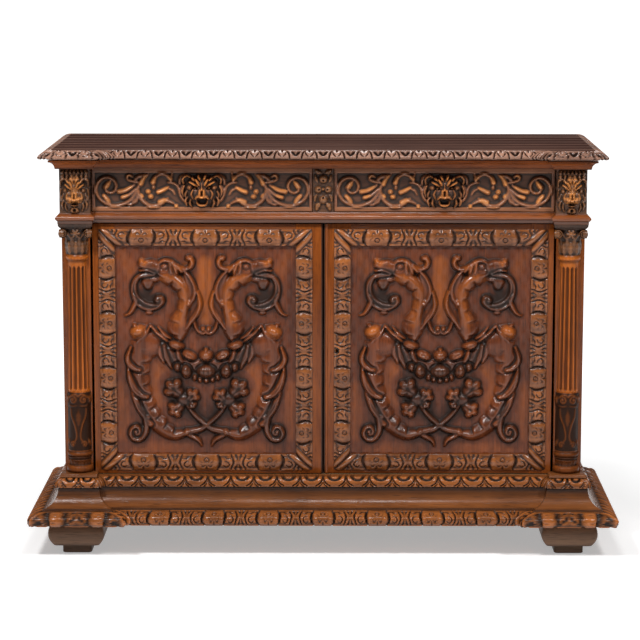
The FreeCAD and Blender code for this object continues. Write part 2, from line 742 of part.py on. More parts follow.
# Half capitals: a leafy bell, corner volutes and a square abacus
for side in sides:
    name = f"capital_{side}"
    body = doc.addObject("PartDesign::Body", name + "_bell")
    outline = sketch(body, name + "_bell_profile", "XZ_Plane", [[
        ("0", "capital_low"),
        ("shaft_top_radius + 1", "capital_low", "capital_height * 1.5", 1),
        ("abacus_width / 2 - 6", "waist_low - abacus_height"),
        ("0", "waist_low - abacus_height"),
    ]])
    turn(body, name + "_bell_turned", outline)
    halving = sketch(body, name + "_bell_back", "XY_Plane", [[
        ("-60", "0"), ("60", "0"), ("60", "60"), ("-60", "60")]])
    pocket(body, name + "_bell_half", halving)
    body.setExpression("Placement.Base.x", bound(at(side, "column_x")))
    body.setExpression("Placement.Base.y", bound("post_front"))
    abacus = box(name + "_abacus",
                 (f"{at(side, 'column_x')} - abacus_width / 2",
                  f"{at(side, 'column_x')} + abacus_width / 2"),
                 ("post_front - abacus_width / 2", "post_front"),
                 ("waist_low - abacus_height", "waist_low"))
    scrolls = []
    for hand, sign in (("near", 1), ("far", -1)):
        scroll = doc.addObject("Part::Cylinder", f"{name}_volute_{hand}")
        scroll.Placement = FreeCAD.Placement(FreeCAD.Vector(), FreeCAD.Rotation(FreeCAD.Vector(0, 0, 1),
                                             FreeCAD.Vector(sign * 0.7071, 0.7071, 0)))
        scroll.setExpression("Radius", bound("volute_radius"))
        scroll.setExpression("Height", bound("volute_thickness"))
        shift = "volute_thickness * 0.3536"
        x = f"{at(side, 'column_x')} + {sign} * (volute_reach - {shift})"
        scroll.setExpression("Placement.Base.x",
                             bound(x if sign > 0 else f"{at(side, 'column_x')} - volute_reach + {shift}"))
        scroll.setExpression("Placement.Base.y", bound(f"post_front - volute_reach - {shift}"))
        scroll.setExpression("Placement.Base.z", bound("waist_low - abacus_height - volute_radius + 1"))
        scrolls.append(scroll)
    pieces.append(fuse(name, body, abacus, *scrolls))

# Pivot pins at the outer corners of both doors, fixed in the floor and in the rail
pins = []
for side in sides:
    for row, low, high in (("lower", "floor_high - pivot_depth", "leaf_low + pivot_depth"),
                           ("upper", "leaf_high - pivot_depth", "waist_low + pivot_depth")):
        pins.append(rod(f"pivot_{row}_{side}", "pivot_radius", at(side, "pivot_x"),
                        f"{side}_face + pivot_setback", (low, high)))
pieces.append(together("door_pivots", *pins))

# Main forms of a door panel's carving on one side of its middle, as drawn: distance from the middle, level,
# half width, half height and rise, as a share of the carving's, of each rounded form
carved_balls = {
    "head": (126, 466, 36, 15, 1.05),
    "chin": (142, 430, 15, 15, 0.9),
    "horn": (41, 480, 12, 13, 1.0),
    "tongue_tip": (118, 388, 10, 10, 1.2),
    "neck_foot": (69, 320, 26, 42, 1.1),
    "chest": (143, 274, 42, 34, 1.1),
    "shoulder_boss": (166, 309, 21, 15, 1.5),
    "leaf_knot": (85, 280, 34, 14, 1.35),
    "leaves": (91, 240, 24, 30, 0.95),
    "side_fruit": (57, 211, 16, 19, 1.4),
    "pod": (40, 250, 20, 12, 1.45),
    "inner_fruit": (23, 205, 16, 24, 1.1),
    "upper_leaf": (76, 160, 20, 22, 1.1),
    "inner_leaf": (31, 138, 14, 20, 1.1),
    "lower_leaf": (67, 114, 19, 18, 1.0),
    "tail_boss": (49, 57, 14, 11, 1.2),
    "scroll_eye": (176, 57, 8, 8, 1.1),
}
# The bent forms: centre as above, radius of the bend, half width, first angle and angle turned through
carved_bows = {
    "neck": (99.5, 403, 47, 20, -25, 120),
    "body": (7, 206.5, 163.5, 22, 171, 77),
    "tongue": (133, 411, 44, 8.5, 115, 185),
    "mane": (104, 387, 89, 6.5, -48, 92),
    "side_leaf": (88, 230, 104, 8, 163, 70),
    "tail": (84, 225, 172, 6.5, -78, 37),
    "scroll": (173, 54, 19, 6.5, 0, 360),
}
carved_middle = {"low_fruit": (206, 22, 24, 1.45), "high_fruit": (248, 19, 16, 1.45)}


def dragon_carving(name, side, front):
    """The two dragons, the swag and the leaves between them, rooted in the panel."""
    middle = at(side, "carving_middle")
    level = lambda up: f"sight_low + {up} * carving_scale_up"
    forms = []
    for form, (up, wide, tall, share) in carved_middle.items():
        forms.append(ball(f"{name}_{form}", f"{wide} * carving_scale", f"{share} * carving_rise",
                          f"{tall} * carving_scale", middle, front, level(up)))
    for way, half in ((-1, "left"), (1, "right")):
        for form, (away, up, wide, tall, share) in carved_balls.items():
            forms.append(ball(f"{name}_{form}_{half}", f"{wide} * carving_scale", f"{share} * carving_rise",
                              f"{tall} * carving_scale", f"{middle} + {way * away} * carving_scale",
                              front, level(up)))
        for form, (away, up, ring, tube, start, sweep) in carved_bows.items():
            begin = start if way < 0 else 180 - start - sweep
            sunk = f"{front} + {tube} * carving_scale - min({tube} * carving_scale; carving_rise)"
            forms.append(bow(f"{name}_{form}_{half}", f"{ring} * carving_scale", f"{tube} * carving_scale",
                             f"{middle} + {way * away} * carving_scale", sunk, level(up), begin, sweep))
    behind = box(f"{name}_behind",
                 across(side, "sight_near - carving_drawn_width", "sight_far + carving_drawn_width"),
                 (f"{front} + carving_root", f"{front} + carving_root + 60"),
                 ("sight_low - carving_drawn_height", "sight_high + carving_drawn_height"))
    return cut(name, fuse(f"{name}_forms", *forms), behind)


# Doors: a tenoned frame, a carved panel in its groove, and a raised carved band
for side in sides:
    name = f"door_{side}"
    face = f"{side}_face"
    rear = f"{face} + door_thickness"
    groove = box(name + "_groove",
                 across(side, "sight_near - panel_groove_depth - panel_play",
                        "sight_far + panel_groove_depth + panel_play"),
                 (f"{face} + door_panel_setback", f"{face} + door_panel_setback + door_panel_thickness"),
                 ("sight_low - panel_groove_depth - panel_play",
                  "sight_high + panel_groove_depth + panel_play"))
    tenon = (f"{face} + door_thickness / 2 - tenon_thickness / 2",
             f"{face} + door_thickness / 2 + tenon_thickness / 2")
    rails, mortises = [], []
    for level, low, high in (("bottom", "leaf_low", "sight_low"), ("top", "sight_high", "leaf_high")):
        blank = box(f"{name}_{level}_rail_blank", across(side, "sight_near", "sight_far"), (face, rear),
                    (low, high))
        height = (f"{low} + tenon_shoulder", f"{high} - tenon_shoulder")
        tongue = box(f"{name}_{level}_tenons",
                     across(side, "sight_near - tenon_length", "sight_far + tenon_length"), tenon, height)
        grooved = cut(f"{name}_{level}_rail_grooved", blank, groove)
        rails.append(fuse(f"{name}_{level}_rail", grooved, tongue))
        mortises.append(box(f"{name}_{level}_mortise",
                            across(side, "sight_near - tenon_length", "sight_far + tenon_length"), tenon,
                            height))
    pieces.append(together(name + "_rails", *rails))
    bores = []
    for row, low, high in (("lower", "leaf_low - 1", "leaf_low + pivot_depth"),
                           ("upper", "leaf_high - pivot_depth", "leaf_high + 1")):
        bores.append(rod(f"{name}_{row}_bore", "pivot_radius + pivot_play", at(side, "pivot_x"),
                         f"{face} + pivot_setback", (low, high)))
    stile = box(name + "_hinge_stile_blank", across(side, "sight_far", "leaf_far"), (face, rear),
                ("leaf_low", "leaf_high"))
    pieces.append(cut(name + "_hinge_stile", stile, groove, *mortises, *bores))
    stile = box(name + "_meeting_stile_blank", across(side, "leaf_near", "sight_near"), (face, rear),
                ("leaf_low", "leaf_high"))
    pieces.append(cut(name + "_meeting_stile", stile, groove, *mortises))
    front = f"{face} + door_panel_setback"
    board = box(name + "_panel_board",
                across(side, "sight_near - panel_groove_depth", "sight_far + panel_groove_depth"),
                (front, f"{front} + door_panel_thickness"),
                ("sight_low - panel_groove_depth", "sight_high + panel_groove_depth"))
    pieces.append(fuse(name + "_panel", board, dragon_carving(name + "_carving", side, front)))
    band = doc.addObject("PartDesign::Body", name + "_band")
    rings = []
    for ring, out, rise in (("edge", "band_width", "0"), ("shoulder", "band_width - 1", "band_edge_height"),
                            ("crest", "band_width * 0.5 + band_crest_width / 2", "band_height"),
                            ("crest_inner", "band_width * 0.5 - band_crest_width / 2", "band_height + 1"),
                            ("sight", "0", "band_edge_height"), ("sight_back", "0", "0")):
        x = across(side, f"sight_near - ({out})", f"sight_far + ({out})")
        z = (f"sight_low - ({out})", f"sight_high + ({out})")
        corners = [(x[0], z[0]), (x[1], z[0]), (x[1], z[1]), (x[0], z[1])]
        rings.append(sketch(band, f"{name}_band_{ring}", "XZ_Plane", [corners], f"{rise} - ({face})"))
    outer = band.newObject("PartDesign::AdditiveLoft", name + "_band_outer")
    outer.Profile = rings[0]
    outer.Sections = [rings[1], rings[2]]
    outer.Ruled = True
    inner = band.newObject("PartDesign::SubtractiveLoft", name + "_band_inner")
    inner.Profile = rings[5]
    inner.Sections = [rings[4], rings[3]]
    inner.Ruled = True
    pieces.append(band)

# Lock on the back of the right door, its bolt, and the strike plate on the left door
case = box("lock_case_body", ("leaf_near + 1", "leaf_near + 1 + lock_width"),
           ("right_face + door_thickness", "lock_rear"), ("lock_low", "lock_low + lock_height"))
channel = box("lock_channel", ("leaf_near", "leaf_near + 1 + lock_width - lock_wall"),
              ("lock_bolt_front", "lock_bolt_front + lock_bolt_thickness"),
              ("lock_bolt_low", "lock_bolt_low + lock_bolt_height"))
pieces.append(cut("lock_case", case, channel))
pieces.append(box("lock_bolt",
                  ("leaf_near + 1", "leaf_near + 1 + lock_width - lock_wall - lock_bolt_throw"),
                  ("lock_bolt_front", "lock_bolt_front + lock_bolt_thickness"),
                  ("lock_bolt_low", "lock_bolt_low + lock_bolt_height")))
pieces.append(box("lock_strike", ("-(leaf_near + strike_width)", "-leaf_near"),
                  ("left_rear", "lock_bolt_front - panel_play"),
                  ("lock_low", "lock_low + lock_height")))

# Bolts at the head and foot of the left door, each in a keeper
for row, low, high, knob in (
        ("head", "leaf_high - leaf_bolt_setback - leaf_bolt_length", "leaf_high - leaf_bolt_setback",
         "knob_place"),
        ("foot", "leaf_low + leaf_bolt_setback", "leaf_low + leaf_bolt_setback + leaf_bolt_length",
         "leaf_bolt_length - knob_place")):
    bar = box(f"leaf_bolt_{row}_bar", across("left", "leaf_bolt_near", "leaf_bolt_far"),
              ("left_rear", "leaf_bolt_rear"), (low, high))
    grip = rod(f"leaf_bolt_{row}_knob", "leaf_bolt_width / 2 - 1",
               "-(leaf_bolt_near + leaf_bolt_width / 2)",
               "leaf_bolt_rear - 1", ("0", "14"))
    grip.Placement = FreeCAD.Placement(FreeCAD.Vector(), FreeCAD.Rotation(FreeCAD.Vector(1, 0, 0), -90))
    grip.setExpression("Placement.Base.z", bound(f"{low} + {knob}"))
    pieces.append(fuse(f"leaf_bolt_{row}", bar, grip))
keepers = []
for row, levels in (("head", ("leaf_high - keeper_place - keeper_height", "leaf_high - keeper_reach")),
                    ("foot", ("leaf_low + keeper_place", "leaf_low + keeper_reach - keeper_height"))):
    for letter, low in zip("ab", levels):
        body = box(f"keeper_{row}_{letter}_body",
                   across("left", "leaf_bolt_near - keeper_thickness - 6",
                          "leaf_bolt_far + keeper_thickness + 6"),
                   ("left_rear", "leaf_bolt_rear + keeper_thickness"), (low, f"{low} + keeper_height"))
        way = box(f"keeper_{row}_{letter}_way", across("left", "leaf_bolt_near", "leaf_bolt_far"),
                  ("left_rear - 1", "leaf_bolt_rear"), (f"{low} - 1", f"{low} + keeper_height + 1"))
        keepers.append(cut(f"keeper_{row}_{letter}", body, way))
pieces.append(together("leaf_bolt_keepers", *keepers))

# Drawers: a front with a lion mask to pull, a box, and a bottom slid into grooves
for side in sides:
    name = f"drawer_{side}"
    bottom = (across(side, "box_near + drawer_side_thickness - drawer_groove_depth",
                     "box_far - drawer_side_thickness + drawer_groove_depth"),
              ("drawer_rear - drawer_groove_depth", "box_end"), ("bottom_low", "bottom_high"))
    groove = box(name + "_bottom_groove", *bottom)
    blank = box(name + "_front_blank", across(side, "drawer_near", "drawer_far"),
                ("post_front", "drawer_rear"), ("drawer_low", "drawer_high"))
    pieces.append(cut(name + "_front", blank, groove))
    walls = []
    for hand, near, far in (("near", "box_near", "box_near + drawer_side_thickness"),
                            ("far", "box_far - drawer_side_thickness", "box_far")):
        wall = box(f"{name}_side_{hand}_blank", across(side, near, far), ("drawer_rear", "box_end"),
                   ("frieze_low", "box_high"))
        walls.append(cut(f"{name}_side_{hand}", wall, groove))
    walls.append(box(name + "_back",
                     across(side, "box_near + drawer_side_thickness", "box_far - drawer_side_thickness"),
                     ("box_end - drawer_side_thickness", "box_end"), ("bottom_high", "box_high")))
    pieces.append(together(name + "_box", *walls))
    pieces.append(box(name + "_bottom", *bottom))
    level = "(frieze_low + cornice_low) / 2"
    head = ball(name + "_mask_head", "mask_width / 2", "mask_projection", "mask_height / 2",
                at(side, "drawer_x"), "post_front", level)
    muzzle = ball(name + "_mask_muzzle", "muzzle_width / 2", "muzzle_projection", "mask_height * 0.28",
                  at(side, "drawer_x"), "post_front", f"{level} - mask_height * 0.2")
    behind = box(name + "_mask_back",
                 (f"{at(side, 'drawer_x')} - mask_width", f"{at(side, 'drawer_x')} + mask_width"),
                 ("post_front", "post_front + 60"), ("frieze_low", "cornice_low"))
    pieces.append(cut(name + "_mask", fuse(name + "_mask_blank", head, muzzle), behind))

doc.recompute()
for item in doc.Objects:
    bad = [state for state in item.State if state in ("Invalid", "Error")]
    if bad:
        raise RuntimeError(f"{item.Label} is {bad}")
for piece in pieces:
    if piece.Shape.isNull() or not piece.Shape.isValid() or not piece.Shape.Solids:
        raise RuntimeError(f"{piece.Label} has no valid solid")

os.makedirs("parts", exist_ok=True)
for piece in pieces:
    piece.Shape.exportStep(f"parts/{piece.Label}.step")
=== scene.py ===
import math

import bpy
import numpy as np
from mathutils import Matrix


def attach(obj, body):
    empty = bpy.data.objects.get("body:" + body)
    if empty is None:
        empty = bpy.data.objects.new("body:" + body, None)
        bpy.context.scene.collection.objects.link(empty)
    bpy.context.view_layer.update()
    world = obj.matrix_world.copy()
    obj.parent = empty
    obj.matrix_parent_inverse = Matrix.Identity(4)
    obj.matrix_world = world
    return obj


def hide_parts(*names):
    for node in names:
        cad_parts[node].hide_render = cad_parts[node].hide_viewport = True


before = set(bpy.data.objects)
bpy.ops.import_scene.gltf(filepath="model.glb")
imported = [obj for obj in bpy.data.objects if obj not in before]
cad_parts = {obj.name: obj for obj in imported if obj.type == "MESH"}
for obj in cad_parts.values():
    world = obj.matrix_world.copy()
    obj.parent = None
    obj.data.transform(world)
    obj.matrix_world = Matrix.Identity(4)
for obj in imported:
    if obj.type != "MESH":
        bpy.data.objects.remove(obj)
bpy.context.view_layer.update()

# Studio: a pale floor under soft light from wide lamps. The camera stands square to the front, above
# the cabinet's top, with a long lens.
scene = bpy.context.scene
scene.view_settings.view_transform = "Standard"
white = (1.0, 1.0, 1.0, 1.0)


def feed(tree, node, values):
    """Sets a node's inputs, by name or number, to values or to what sockets and other nodes give."""
    for key, value in dict(values).items():
        if isinstance(value, bpy.types.Node):
            value = next(socket for socket in value.outputs if socket.enabled)
        if isinstance(value, bpy.types.NodeSocket):
            tree.links.new(value, node.inputs[key])
        else:
            node.inputs[key].default_value = value


def put(tree, kind, values=(), **settings):
    """Adds a shader node with its settings and its inputs."""
    node = tree.nodes.new("ShaderNode" + kind)
    for key, value in settings.items():
        setattr(node, key, value)
    feed(tree, node, values)
    return node


def maths(tree, operation, *values):
    """A node that works on one or two values."""
    return put(tree, "Math", enumerate(values), operation=operation)


def ranged(tree, value, low, high, to_low=0.0, to_high=1.0):
    """A node that takes a value from one range into another."""
    return put(tree, "MapRange", {
        "Value": value, "From Min": low, "From Max": high, "To Min": to_low, "To Max": to_high})


def emptied(owner):
    """The emptied node tree of a material or of the world."""
    owner.use_nodes = True
    owner.node_tree.nodes.clear()
    return owner.node_tree


camera = bpy.data.objects.new("camera", bpy.data.cameras.new("camera"))
scene.collection.objects.link(camera)
camera.data.sensor_width = 36.0
camera.data.lens = 136.2
camera.data.shift_x = -0.0265
camera.data.clip_end = 200.0
camera.matrix_world = (
    Matrix.Translation((0.0339, -6.0332, 1.5426))
    @ Matrix.Rotation(math.radians(90 - 9.317), 4, "X")
    @ Matrix.Rotation(math.radians(0.09), 4, "Z")
)
scene.camera = camera

world = bpy.data.worlds.new("studio_air")
scene.world = world
tree = emptied(world)
soft = put(tree, "Background", {"Color": white, "Strength": 0.17})
put(tree, "OutputWorld", {"Surface": soft})

lamps = {
    "key_lamp": ((-1.4, -2.1, 3.1), (0.0, -0.1, 0.5), 0.5, 90.0),
    "fill_lamp": ((1.7, -2.1, 3.0), (0.0, -0.1, 0.5), 0.5, 60.0),
    "top_lamp": ((0.1, -1.2, 3.2), (0.0, -0.1, 0.7), 0.6, 22.0),
    "rim_lamp": ((0.0, 1.4, 2.9), (0.0, -0.2, 0.95), 0.9, 22.0),
}
for name, (spot, aim, size, power) in lamps.items():
    lamp = bpy.data.lights.new(name, "AREA")
    lamp.size = size
    lamp.energy = power
    holder = bpy.data.objects.new(name, lamp)
    scene.collection.objects.link(holder)
    holder.location = spot
    line = holder.location - type(holder.location)(aim)
    holder.rotation_euler = line.to_track_quat("Z", "Y").to_euler()

bpy.ops.object.select_all(action="DESELECT")
bpy.ops.mesh.primitive_plane_add(size=90.0, location=(0.0, 0.0, 0.0))
floor = bpy.context.object
floor.name = "studio_floor"
paper = bpy.data.materials.new("pale_floor")
tree = emptied(paper)
rays = put(tree, "LightPath").outputs
place = put(tree, "TexCoord").outputs["Object"]
reach = put(tree, "VectorMath", {0: place}, operation="LENGTH")
lift = ranged(tree, ranged(tree, reach, 0.9, 2.3), 0.0, 1.0, 0.38)
seen = maths(tree, "MAXIMUM", rays["Is Camera Ray"], rays["Is Glossy Ray"])
seen = maths(tree, "MAXIMUM", seen, rays["Is Transmission Ray"])
matt = put(tree, "BsdfDiffuse", {"Color": (0.82, 0.82, 0.82, 1.0)})
glow = put(tree, "Emission", {"Color": white, "Strength": maths(tree, "MULTIPLY", lift, seen)})
both = put(tree, "AddShader", {0: matt, 1: glow})
put(tree, "OutputMaterial", {"Surface": both})
floor.data.materials.append(paper)

# Feet: four walnut blocks with rounded sides, each on a smaller pad, brown and plain. Each is one profile
# carried round a square plan, and is pegged under a corner of the plinth.


def colour(r, g, b):
    """A colour in screen values from 0 to 255, as the renderer's own values."""
    return tuple(((c / 255 + 0.055) / 1.055) ** 2.4 for c in (r, g, b)) + (1.0,)


def noise(tree, place, scale, detail, rough, bent=0.0):
    """A node of soft noise."""
    return put(tree, "TexNoise", {
        "Vector": place, "Scale": scale, "Detail": detail, "Roughness": rough, "Distortion": bent})


def mixed(tree, share, first, second, kind="RGBA"):
    """A node that lays a second colour, or value, over the first by a share."""
    number = 6 if kind == "RGBA" else 2
    return put(tree, "Mix", {0: share, number: first, number + 1: second}, data_type=kind)


def new_group(name, inputs, outputs):
    """An empty shader group with named sockets, what comes into it and its end node."""
    group = bpy.data.node_groups.new(name, "ShaderNodeTree")
    for way, sockets in (("INPUT", inputs), ("OUTPUT", outputs)):
        for label, kind in sockets.items():
            group.interface.new_socket(name=label, in_out=way, socket_type="NodeSocket" + kind)
    return group, group.nodes.new("NodeGroupInput").outputs, group.nodes.new("NodeGroupOutput")


grain_group, given, result = new_group(
    "wood_grain", {"Place": "Vector"}, {"Streak": "Float", "Pore": "Float"})
wide = noise(grain_group, given["Place"], 1.0, 4.0, 0.62, 0.7)
fine = noise(grain_group, given["Place"], 4.6, 3.0, 0.7, 0.2)
dash = noise(grain_group, given["Place"], 11.0, 1.0, 0.5)
streak = ranged(grain_group, mixed(grain_group, 0.4, wide, fine, "FLOAT"), 0.36, 0.64)
feed(grain_group, result, {"Streak": streak, "Pore": ranged(grain_group, dash, 0.6, 0.72)})

# The finish darkens towards the recess colour by the dirt mask, which holds painted shade in hollows and
# creases as well as dark wax.
finish_and_shade_group, given, result = new_group(
    "carved_finish_and_shade",
    {"Streak": "Float", "Pore": "Float", "Cloud": "Float", "Wear": "Float", "Dirt_and_shade": "Float",
     "Dark wood": "Color", "Light wood": "Color", "Recess": "Color", "Worn": "Color", "Rough": "Float"},
    {"Color": "Color", "Roughness": "Float", "Height": "Float"})
tone = mixed(finish_and_shade_group, 0.45, given["Streak"], given["Cloud"], "FLOAT")
bare = mixed(finish_and_shade_group, tone, given["Dark wood"], given["Light wood"])
specks = maths(finish_and_shade_group, "MULTIPLY", given["Pore"], 0.45)
pored = mixed(finish_and_shade_group, specks, bare, given["Recess"])
rubbed = maths(finish_and_shade_group, "MULTIPLY", ranged(finish_and_shade_group, tone, 0.15, 0.75, 0.3), given["Wear"])
gold = mixed(finish_and_shade_group, rubbed, pored, given["Worn"])
grimed_and_shaded = mixed(finish_and_shade_group, given["Dirt_and_shade"], gold, given["Recess"])
dull = maths(finish_and_shade_group, "ADD", maths(finish_and_shade_group, "MULTIPLY", given["Dirt_and_shade"], 0.22), given["Rough"])
dent = maths(finish_and_shade_group, "SUBTRACT", given["Streak"], given["Pore"])
feed(finish_and_shade_group, result, {"Color": grimed_and_shaded, "Roughness": dull, "Height": dent})


def wood(name, along, dark, light, recess=(26, 16, 11), worn=(170, 96, 40), rough=0.22, gloss=0.22,
         coat=0.5):
    """Waxed wood with its grain along x, y or z; its wear, polish, and dirt with painted shade change its
    look.
    """
    material = bpy.data.materials.new(name)
    tree = emptied(material)
    place = put(tree, "TexCoord").outputs["Object"]
    wear, dirt_and_shade, polish = [
        put(tree, "Attribute", attribute_name=label).outputs["Fac"] for label in ("wear", "dirt_and_shade", "polish")]
    scale = [40.0, 40.0, 40.0]
    scale["xyz".index(along)] = 2.4
    laid = put(tree, "Mapping", {"Vector": place, "Scale": scale, "Rotation": (0.015, 0.02, 0.015)})
    grain = put(tree, "Group", {"Place": laid}, node_tree=grain_group).outputs
    cloud = ranged(tree, noise(tree, place, 4.5, 4.0, 0.62), 0.3, 0.7)
    carved = put(tree, "Group", {
        "Streak": grain["Streak"], "Pore": grain["Pore"], "Cloud": cloud, "Wear": wear, "Dirt_and_shade": dirt_and_shade,
        "Dark wood": colour(*dark), "Light wood": colour(*light), "Recess": colour(*recess),
        "Worn": colour(*worn), "Rough": rough}, node_tree=finish_and_shade_group).outputs
    bump = put(tree, "Bump", {"Height": carved["Height"], "Strength": 0.22, "Distance": 0.0007})
    bump = put(tree, "Bump", {
        "Height": noise(tree, place, 170.0, 2.0, 0.55), "Normal": bump, "Strength": 0.16, "Distance": 0.0012})
    waxed = put(tree, "BsdfPrincipled", {
        "Base Color": carved["Color"], "Roughness": carved["Roughness"], "Normal": bump,
        "Specular IOR Level": gloss, "Coat Weight": maths(tree, "MULTIPLY", polish, coat),
        "Coat Roughness": 0.24, "Coat Normal": bump})
    put(tree, "OutputMaterial", {"Surface": waxed})
    return material


def aged(piece, wear, dirt_and_shade, polish):
    """Keeps a piece's worn and polished places, and its dirt with painted shade, as values at its points."""
    for label, mask in (("wear", wear), ("dirt_and_shade", dirt_and_shade), ("polish", polish)):
        layer = piece.data.attributes.new(label, "FLOAT", "POINT")
        layer.data.foreach_set("value", np.clip(mask, 0.0, 1.0).ravel())


def grid(name, rows):
    """A grid of faces through rows of points, which are in millimetres."""
    bpy.ops.object.select_all(action="DESELECT")
    bpy.ops.mesh.primitive_grid_add(
        x_subdivisions=rows.shape[1] - 1, y_subdivisions=rows.shape[0] - 1, size=1.0,
        location=(0.0, 0.0, 0.0))
    piece = bpy.context.object
    piece.name = name
    piece.data.vertices.foreach_set("co", (rows / 1000).ravel())
    return piece


def filled():
    """Closes the open ends of the piece that is being edited, and turns its faces outwards."""
    bpy.ops.mesh.select_all(action="SELECT")
    bpy.ops.mesh.fill_holes(sides=0)
    bpy.ops.mesh.select_all(action="SELECT")
    bpy.ops.mesh.normals_make_consistent(inside=False)
    bpy.ops.object.mode_set(mode="OBJECT")


def skin(name, rows, closed_path=False, wear=None, dirt_and_shade=None):
    """Rows of points joined into one skin from a grid. Each row closes on itself, and so may the path;
    open ends are filled flat."""
    rows = np.asarray(rows, float)
    masks = [np.zeros(rows.shape[:2]) if m is None else np.asarray(m, float) for m in (wear, dirt_and_shade)]
    fields = [np.concatenate([f, f[:, :1]], axis=1) for f in (rows, *masks)]
    if closed_path:
        fields = [np.concatenate([f, f[:1]], axis=0) for f in fields]
    rows, wear, dirt_and_shade = fields
    piece = grid(name, rows)
    aged(piece, wear, dirt_and_shade, wear * (1 - dirt_and_shade))
    bpy.ops.object.mode_set(mode="EDIT")
    bpy.ops.mesh.select_all(action="SELECT")
    bpy.ops.mesh.remove_doubles(threshold=0.000005)
    filled()
    return piece


def alone(piece):
    """Selects one piece only."""
    bpy.ops.object.select_all(action="DESELECT")
    bpy.context.view_layer.objects.active = piece
    piece.select_set(True)


def fixed(piece, body, material, slot, *nodes, angle=42):
    """Gives a piece its finish and fixes it to its body, in place of the frame's plain solids."""
    piece.data.materials.clear()
    piece.data.materials.append(material)
    alone(piece)
    bpy.ops.object.shade_smooth_by_angle(angle=math.radians(angle))
    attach(piece, body)
    if nodes:
        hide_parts(*nodes)
    return piece


def arc(points, count=6):
    """A line through points, where a third value bends the way to the next point by that much."""
    line = []
    for here, after in zip(points, points[1:]):
        a = np.array(here[:2], float)
        b = np.array(after[:2], float)
        bend = here[2] if len(here) > 2 else 0.0
        side = np.array([b[1] - a[1], a[0] - b[0]]) / max(np.hypot(*(b - a)), 0.001)
        for t in np.linspace(0, 1, count if bend else 2)[:-1]:
            line.append(a + (b - a) * t + side * bend * 4 * t * (1 - t))
    line.append(np.array(points[-1][:2], float))
    return np.array(line)


def full_turn(count):
    """Angles all the way round, the last one short of the first."""
    return np.linspace(0, 2 * math.pi, count + 1)[:-1]


foot_walnut = wood("foot_walnut", "x", (84, 60, 45), (130, 98, 74), rough=0.42)
foot_line = arc([(33, 0), (36, 2), (36, 23), (50, 23), (56.5, 23.6, 11.2), (60.5, 81), (59, 82)], 13)
foot_shade = np.interp(foot_line[:, 1], [0, 18, 23, 32, 70, 82], [0.0, 0.0, 0.6, 0.0, 0.0, 0.5])
foot_x, foot_front, foot_rear = 609, -165, 175
squareness = 14
turn = full_turn(96)
plan = np.abs(np.cos(turn)) ** squareness + np.abs(np.sin(turn)) ** squareness
plan = np.maximum(plan, 1e-6) ** (-1 / squareness)
for end, y in (("front", foot_front), ("rear", foot_rear)):
    for side, x in (("left", -foot_x), ("right", foot_x)):
        rows = [np.column_stack([x + r * plan * np.cos(turn), y + r * plan * np.sin(turn),
                                 np.full(len(turn), z)])
                for r, z in foot_line]
        dirt_and_shade = np.repeat(foot_shade[:, None], len(turn), axis=1)
        fixed(skin(f"block_foot_{end}_{side}", rows, dirt_and_shade=dirt_and_shade), "case", foot_walnut, "carved_wood",
              f"foot_{end}_{side}")

# Plinth: a deep walnut moulding mitred round the front and sides, a plain cove over a carved edge that
# slopes in. It stands forward under the corners; bosses and straps run along its fronts, lobes along its
# sides.


def distances(line):
    """How far along a line each of its points lies."""
    return np.concatenate([[0], np.cumsum(np.hypot(*np.diff(line, axis=0).T))])


def spread(values, t):
    """Values set evenly along a line, read at places from 0 to 1."""
    return np.interp(t, np.linspace(0, 1, np.size(values)), np.atleast_1d(values))


def circle(u, v, ru, rv, count):
    """A closed ring of points."""
    return [(u + ru * math.cos(a), v + rv * math.sin(a)) for a in np.linspace(0, 2 * math.pi, count)]


def smooth_line(points, gap=0.8):
    """Points about gap apart on a smooth line through given points."""
    p = np.array(points, float)
    p = np.vstack([2 * p[0] - p[1], p, 2 * p[-1] - p[-2]])
    line = []
    for a, b, c, d in zip(p, p[1:], p[2:], p[3:]):
        t = np.linspace(0, 1, max(2, int(np.hypot(*(c - b)) / gap)), endpoint=False)[:, None]
        line.append(0.5 * (2 * b + (c - a) * t + (2 * a - 5 * b + 4 * c - d) * t**2
                           + (3 * b - a - 3 * c + d) * t**3))
    return np.vstack(line + [p[-2:-1]])


def soften(field, cells):
    """A field of values blurred over some cells."""
    field = np.asarray(field, float)
    for _ in range(2):
        for axis in (0, 1):
            pad = [(0, 0), (0, 0)]
            pad[axis] = (cells + 1, cells)
            total = np.cumsum(np.pad(field, pad, mode="edge"), axis=axis)
            size = field.shape[axis]
            low = np.take(total, range(size), axis=axis)
            high = np.take(total, range(2 * cells + 1, size + 2 * cells + 1), axis=axis)
            field = (high - low) / (2 * cells + 1)
    return field


